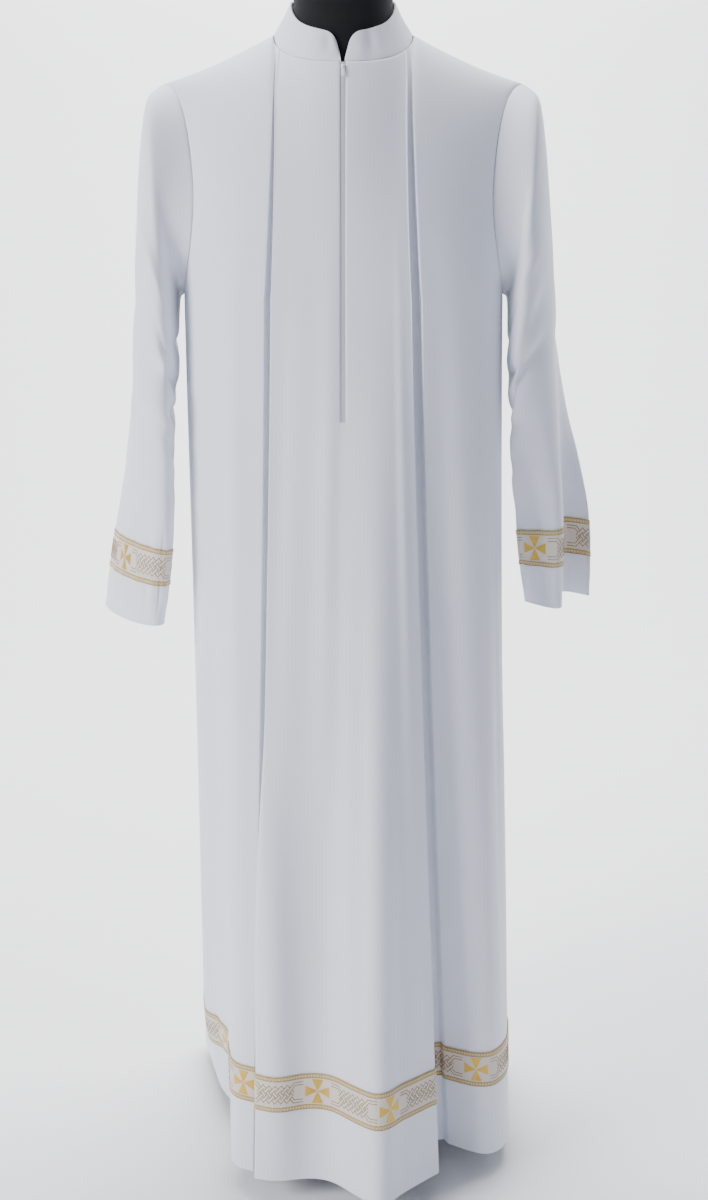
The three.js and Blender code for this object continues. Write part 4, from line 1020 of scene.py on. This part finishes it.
def dressBand(name, node, sheet, phase):
    # the ground, then crosses, interlace, border lines and chains, then the stitches that hold it
    s = galloon
    ground = finishPiece(clothPiece(name, sheet, s["thickness"]), node, [galloonGround])
    low, high = sheet["marks"][0][0] + 0.4, sheet["marks"][0][-1] - 0.4
    relief = Relief(sheet)
    first = math.floor((low - phase) / s["pitch"]) - 1
    for k in range(first, first + math.ceil((high - low) / s["pitch"]) + 3):
        addCross(relief, phase + k * s["pitch"], low, high)
        addInterlace(relief, phase + (k + 0.5) * s["pitch"], low, high)
    for inset in s["borderLines"]:
        for level in (inset, s["width"] - inset):
            relief.line([(low, level), (high, level)], s["borderLineWidth"], s["lineRelief"] * 0.8, 1)
    for level in (s["chainAt"], s["width"] - s["chainAt"]):
        for at in np.arange(low + s["chainPitch"], high - s["chainPitch"], s["chainPitch"]):
            relief.bead(at, level, s["chainSize"], s["lineRelief"], 2)
    for level in (s["stitchAt"], s["width"] - s["stitchAt"]):
        for at in np.arange(low + 2, high - 4, s["stitchPitch"]):
            relief.stitch(at, level, s["stitch"], s["stitchThick"], 3)
    figures = finishPiece(relief.piece(name + "_figures"), None,
                          [brightGilt, dullGilt, paleGilt, thread], 30)
    return ground, figures


# each band's sheet, the cloth that it is sewn on, and the middle of its piece's and its node's name
bandPlaces = {
    "front": (bandOnPanel(frontPanel, galloon["frontSlack"]), "alb_front", "skirt", "hem"),
    "back": (bandOnPanel(backPanel, galloon["backSlack"]), "alb_back", "skirt", "hem"),
    "left": (bandOnSleeve(leftSleeve), "alb_sleeve_left", "sleeve", "cuff"),
    "right": (bandOnSleeve(rightSleeve), "alb_sleeve_right", "sleeve", "cuff"),
}
bands = {}
for place, (sheet, under, part, node) in bandPlaces.items():
    names = (f"galloon_{part}_{place}", f"galloon_{node}_{place}")
    bands[place] = (sheet, under, *dressBand(*names, sheet, galloon[place + "Phase"]))
print("galloon sewn on")


# Zip: tape, teeth, slider and pull

zipSizes = {
    "tapeHalf": 15, "tapeLift": -2.3, "tapeThickness": 0.7, "roll": 0.9, "rollHalf": 3.6,
    "teethPitch": 1.6, "teethHalf": 1.3, "teethOver": 0.4, "teethHigh": 1, "teethDeep": 0.95,
    "teethGap": 0.05, "sliderWidth": 5, "sliderHeight": 8, "sliderDepth": 2.3, "sliderLow": -1.2,
    "sliderTaper": 0.74, "sliderEdge": 0.85,
    "bridge": 2.0, "bridgeThick": 0.42, "bridgeUp": 1.25, "bridgeWide": 1.45,
    "pullWidth": 4.4, "pullLength": 12.2, "pullThick": 0.9, "pullTop": 0.9, "pullEdge": 0.22, "pullUp": 2.25,
    "eyeWide": 0.4, "eyeLong": 0.19, "eyeY": -1.9,
    "sliderUp": 0.955, "aboveUp": 0.985, "tapeTopUp": 0.997,
}


def zipTapeSheet():
    s = zipSizes
    cloth = frontPanel["plain"]
    centre = np.mean(frontPanel["zipAt"])
    top = alb["chestZ"] + s["tapeTopUp"] * alb["upperSpan"]
    within = (cloth["levels"] > panels["zipEndZ"] - 20) & (cloth["levels"] < top)
    levels = np.append(cloth["levels"][within], top)
    beside = onSheet(cloth, centre + 3, levels) - onSheet(cloth, centre - 3, levels)
    perMm = np.linalg.norm(beside, axis=-1) / 6
    shares = np.concatenate([np.linspace(-1, -0.3, 5), np.linspace(-0.25, 0.25, 15), np.linspace(0.3, 1, 5)])
    x = shares * s["tapeHalf"]
    roll = s["roll"] * np.sqrt(np.maximum(0, 1 - (x / s["rollHalf"]) ** 2))
    points = onSheet(cloth, centre + x / perMm[:, None], levels[:, None], s["tapeLift"] + roll)
    return makeSheet(x, levels, points)


def makeTeeth():
    # moulded teeth behind the tape, one from each side in turn
    s = zipSizes
    relief = Relief(tapeSheet)
    lengths = tapeSheet["along"][:, len(tapeSheet["at"]) // 2]
    faces = [[0, 1, 3, 2], [4, 6, 7, 5], [0, 4, 5, 1], [2, 3, 7, 6], [0, 2, 6, 4], [1, 5, 7, 3]]
    for i, place in enumerate(np.arange(3, lengths[-1] - 8, s["teethPitch"])):
        high = s["teethHigh"] / 2
        level = np.interp([place - high, place + high], lengths, tapeSheet["levels"])
        at = np.sort(np.array([-s["teethOver"], s["teethHalf"]]) * (-1) ** i)
        behind = -s["tapeThickness"] - s["teethGap"]
        points = [onSheet(tapeSheet, *np.meshgrid(at, level), lift).reshape(-1, 3)
                  for lift in (behind, behind - s["teethDeep"])]
        relief.add(np.concatenate(points), faces, 0)
    return relief.piece("zip_teeth")


tapeSheet = zipTapeSheet()
tapePiece = clothPiece("zip_tape_strip", tapeSheet, zipSizes["tapeThickness"])
finishPiece(tapePiece, "zip_tape", [shadedKnittedTape])
teethPiece = finishPiece(makeTeeth(), None, [shadedKnittedTape])


def sliderMatrix():
    # x across, y up the cloth and z out of it, from where the slider sits
    place, above = (upperPoint(0.0, frontSide, zipSizes[name]) for name in ("sliderUp", "aboveUp"))
    up = Vector((above - place).tolist()).normalized()
    turn = Matrix((Vector((1, 0, 0)), up, Vector((0, -up.z, up.y)))).transposed().to_4x4()
    return Matrix.Translation(Vector(place.tolist()) * mm) @ turn @ Matrix.Scale(mm, 4)


def makeSlider():
    s = zipSizes
    body = addShape("zip_slider_body", bpy.ops.mesh.primitive_cube_add, size=1,
                    location=(0, 0, s["sliderLow"] + s["sliderDepth"] / 2),
                    scale=(s["sliderWidth"], s["sliderHeight"], s["sliderDepth"]))
    editWhere(body, lambda place: place.y < 0)
    bpy.ops.transform.resize(value=(s["sliderTaper"], 1, 1))
    bpy.ops.mesh.select_all(action="SELECT")
    bpy.ops.mesh.bevel(offset=s["sliderEdge"], segments=4, affect="EDGES")
    bpy.ops.object.mode_set(mode="OBJECT")
    # the bridge that carries the pull
    bridge = addShape("bridge", bpy.ops.mesh.primitive_torus_add, major_radius=s["bridge"],
                      minor_radius=s["bridgeThick"], major_segments=32, minor_segments=10,
                      location=(0, 0, s["bridgeUp"]), rotation=(0, math.pi / 2, 0))
    bridge.data.transform(Matrix.Diagonal((s["bridgeWide"], 1, 1, 1)))
    pick(bridge, body)
    bpy.ops.object.join()
    body.data.transform(sliderMatrix())
    return body


def makePull():
    # a drop-shaped tab with an eye round the bridge
    s = zipSizes
    half = s["pullWidth"] / 2
    low = half - s["pullLength"]
    middle = (s["pullTop"] + low - half) / 2
    pull = addShape("zip_pull_tab", bpy.ops.mesh.primitive_circle_add, vertices=48, radius=half,
                    fill_type="NOTHING", location=(0, low, 0))
    editWhere(pull, lambda place: place.y > low + 0.01)
    bpy.ops.transform.resize(value=(1, (s["pullTop"] - low) / half, 1), center_override=(0, low, 0))
    bpy.ops.mesh.select_all(action="SELECT")
    bpy.ops.mesh.extrude_edges_move()
    bpy.ops.transform.resize(value=(s["eyeWide"], s["eyeLong"], 1), center_override=(0, middle, 0))
    bpy.ops.transform.translate(value=(0, s["eyeY"] - middle, 0))
    bpy.ops.mesh.select_all(action="SELECT")
    bpy.ops.mesh.extrude_region_move(TRANSFORM_OT_translate={"value": (0, 0, s["pullThick"])})
    bpy.ops.mesh.select_all(action="SELECT")
    bpy.ops.mesh.normals_make_consistent(inside=False)
    bpy.ops.object.mode_set(mode="OBJECT")
    bevelEdges(pull, s["pullEdge"], 2)
    pull.data.transform(sliderMatrix() @ Matrix.Translation((0, 0, s["pullUp"] - s["pullThick"] / 2)))
    return pull


finishPiece(makeSlider(), "zip_slider", [enamel])
finishPiece(makePull(), "zip_pull", [enamel], body="pull")
print("zip set in")


# Dress form: a hard block with a jersey cover, drawn in under the cloth

dressForm = {
    "inset": 18, "clearance": 2.1, "neckRadius": 57.5, "neckY": 6, "neckTopZ": 1450, "neckRise": 34,
    "lowerRows": ((650, 0.8), (660, 0.86), (740, 0.92), (830, 0.91), (920, 0.88), (1005, 0.93)),
    "neckShares": (0, 0.06, 0.16, 0.3, 0.5, 0.75, 1),
    "socketRadius": 14.5, "socketTopZ": 810, "lidEdge": 5, "weld": 0.02,
}


def formRing(angles, up, size=1, z=None):
    points = np.concatenate([
        upperPoint(turns, side, up, dressForm["inset"], dressForm["clearance"])
        for turns, side in ((angles, frontSide), (angles[1:-1][::-1], backSide))])
    points[:, :2] *= size
    if z is not None:
        points[:, 2] = z
    return points


def joinRings(rings, start):
    # faces between rings that follow each other, from the vertex at start on
    size = len(rings[0])
    return [[row + c, row + (c + 1) % size, row + size + (c + 1) % size, row + size + c]
            for row in range(start, start + size * (len(rings) - 1), size) for c in range(size)]


def makeForm():
    s = dressForm
    sideAngles = np.linspace(90, alb["neckAngle"], 15)[:-1]
    neckAngles = np.linspace(-alb["neckAngle"], alb["neckAngle"], 37)
    angles = np.concatenate([-sideAngles, neckAngles, sideAngles[::-1]])
    lowZ, lowSize = np.array(s["lowerRows"]).T
    lower = [*np.linspace(lowZ[0], lowZ[1], 4), *np.linspace(672, 1060, 18)]
    sizes = gentleCurve([*lowZ, alb["chestZ"]], [*lowSize, 1], lower)
    body = [formRing(angles, 0.0, size, z) for z, size in zip(lower, sizes)]
    body += [formRing(angles, up) for up in np.linspace(0, 1, 26)]
    # the socket that takes the pole, from its end to its mouth
    spin = np.arctan2(body[0][:, 1], body[0][:, 0])
    socket = [pointOf(s["socketRadius"] * np.cos(spin), s["socketRadius"] * np.sin(spin), z)
              for z in (s["socketTopZ"], lowZ[0])]
    base = formRing(neckAngles, 1.0)
    turns = 90 * neckAngles / alb["neckAngle"]
    turns = np.concatenate([turns, 180 - turns[1:-1][::-1]])
    across, along = s["neckRadius"] * sinOf(turns), -s["neckRadius"] * cosOf(turns)
    neck = []
    for share in s["neckShares"]:
        ring = mix(base, pointOf(across, s["neckY"] + along, 0), math.sqrt(share))
        ring[:, 2] = base[:, 2] + share * s["neckRise"]
        neck.append(ring)
    for turn in np.linspace(0, 90, 6):
        size = 1 - s["lidEdge"] * (1 - cosOf(turn)) / s["neckRadius"]
        z = s["neckTopZ"] - s["lidEdge"] * (1 - sinOf(turn))
        neck.append(pointOf(across * size, s["neckY"] + along * size, z))
    lower = [*socket, *body]
    neckStart = len(spin) * len(lower)
    end = neckStart + len(base) * len(neck)
    faces = [*joinRings(lower, 0), *joinRings(neck, neckStart)]
    faces += [range(len(spin))[::-1], range(end - len(base), end)]
    form = newPiece("form_body", np.concatenate([*lower, *neck]), faces)
    editWhole(form, lambda: bpy.ops.mesh.remove_doubles(threshold=s["weld"] * mm), bpy.ops.mesh.delete_loose)
    return form


finishPiece(makeForm(), "form_torso", [jersey], 50)


# Stand: a pole in a boss on a round foot

stand = {
    "poleRadius": 14, "poleLow": 12.3, "poleTop": 809.7, "poleEdge": 1.2, "footRadius": 145, "footThick": 12,
    "bossRadius": 24, "bossTop": 40, "boreRadius": 14.5, "edge": 1.8,
}


def addCylinder(name, sides, radius, low, high):
    return addShape(name, bpy.ops.mesh.primitive_cylinder_add, vertices=sides, radius=radius * mm,
                    depth=(high - low) * mm, location=(0, 0, (low + high) / 2 * mm))


def makePole():
    s = stand
    pole = addCylinder("stand_pole_tube", 64, s["poleRadius"], s["poleLow"], s["poleTop"])
    bevelEdges(pole, s["poleEdge"] * mm, 3)
    return pole


def makeFoot():
    s = stand
    foot = addCylinder("stand_foot", 128, s["footRadius"], 0, s["footThick"])
    editWhere(foot, lambda place: place.z > s["footThick"] / 2 * mm)
    rise = (s["bossTop"] - s["footThick"]) * mm
    for outer, inner, lift in (("footRadius", "bossRadius", rise), ("bossRadius", "boreRadius", -rise)):
        bpy.ops.mesh.inset(thickness=(s[outer] - s[inner]) * mm)
        bpy.ops.mesh.extrude_region_move(TRANSFORM_OT_translate={"value": (0, 0, lift)})
    bpy.ops.object.mode_set(mode="OBJECT")
    bevelEdges(foot, s["edge"] * mm, 3)
    return foot


finishPiece(makePole(), "stand_pole", [powderCoat])
finishPiece(makeFoot(), "stand_base", [powderCoat])
print("form and stand built")


# What each sheet was cut to, in metres, before it was hung

cuts = {
    "front": (frontPanel["cloth"], "form_body", frontPiece),
    "back": (backPanel["cloth"], "form_body", backPiece),
    "sleeve left": (leftSleeve["cloth"], "alb_front", leftSleevePiece),
    "sleeve right": (rightSleeve["cloth"], "alb_front", rightSleevePiece),
    "collar": (collarCloth, "alb_front", collarPiece),
    **{"band " + place: band for place, band in bands.items()},
    "zip tape": (tapeSheet, "alb_front", tapePiece, teethPiece),
}
for name, (sheet, under, piece, *along) in cuts.items():
    points = sheet["points"]
    width = lengthsAlong(points, 1)[:, -1].max() * mm
    length = lengthsAlong(points, 0)[-1].max() * mm


# Floor, light and camera

view = {
    "camera": (0.0125, -2.036, 1.215), "pitch": 14, "lens": 50.19, "longSide": 36, "clip": (0.05, 100),
    "paper": "#F6F6F7", "sky": "#E4ECFA", "skyStrength": 0.3,
    "sweepBack": 3.4, "sweepRadius": 1.6, "sweepWide": 9, "sweepFront": -7, "sweepTop": 7, "sweepSteps": 24,
}
lights = [
    # name, place, aim, size, power, colour
    ("window", (-3.1, -1.9, 2.1), (0, 0, 0.85), 1.8, 180, "#FBFCFF"),
    ("room", (2.4, -3.0, 1.5), (0, 0, 0.8), 2.6, 22, "#DFE7FF"),
    ("backdropLight", (0, 1.2, 3.6), (0, 3.6, 0.9), 3.0, 330, "#FFFFFF"),
    ("rim", (2.6, 1.8, 2.2), (0, 0, 1.0), 1.6, 26, "#E8EEFF"),
]


def makeBackdrop():
    # pale paper that sweeps up behind the part
    s = view
    turns = np.linspace(0, math.pi / 2, s["sweepSteps"] + 1)
    y = [s["sweepFront"], *(s["sweepBack"] - s["sweepRadius"] * (1 - np.sin(turns))), s["sweepBack"]]
    z = [0, *(s["sweepRadius"] * (1 - np.cos(turns))), s["sweepTop"]]
    side = np.stack([pointOf(x, y, z) for x in (-s["sweepWide"], s["sweepWide"])], axis=1)
    faces = [(i, i + 1, i + 3, i + 2) for i in range(0, 2 * len(y) - 2, 2)]
    paper = newPiece("floor", side.reshape(-1, 3) / mm, faces)
    pick(paper)
    bpy.ops.object.shade_smooth()
    finish = Finish("palePaper", {"Roughness": 0.9, "Base Color": hexColour(s["paper"])})
    paper.data.materials.append(finish.material)


def addHolder(name, data, place, turn):
    holder = bpy.data.objects.new(name, data)
    holder.location = place
    holder.rotation_euler = turn
    bpy.context.scene.collection.objects.link(holder)
    return holder


def makeStage():
    makeBackdrop()
    world = bpy.data.worlds.new("studio")
    world.use_nodes = True
    background = world.node_tree.nodes["Background"]
    background.inputs["Color"].default_value = hexColour(view["sky"])
    background.inputs["Strength"].default_value = view["skyStrength"]
    bpy.context.scene.world = world
    for name, place, aim, size, power, colour in lights:
        lamp = bpy.data.lights.new(name, "AREA")
        lamp.shape = "DISK"
        lamp.size = size
        lamp.energy = power
        lamp.color = hexColour(colour)[:3]
        addHolder(name, lamp, place, (Vector(aim) - Vector(place)).to_track_quat("-Z", "Y").to_euler())
    camera = bpy.data.cameras.new("camera")
    camera.lens = view["lens"]
    camera.sensor_width = view["longSide"]
    camera.clip_start, camera.clip_end = view["clip"]
    turn = (math.radians(90 - view["pitch"]), 0, 0)
    bpy.context.scene.camera = addHolder("camera", camera, view["camera"], turn)


makeStage()
print("stage set")
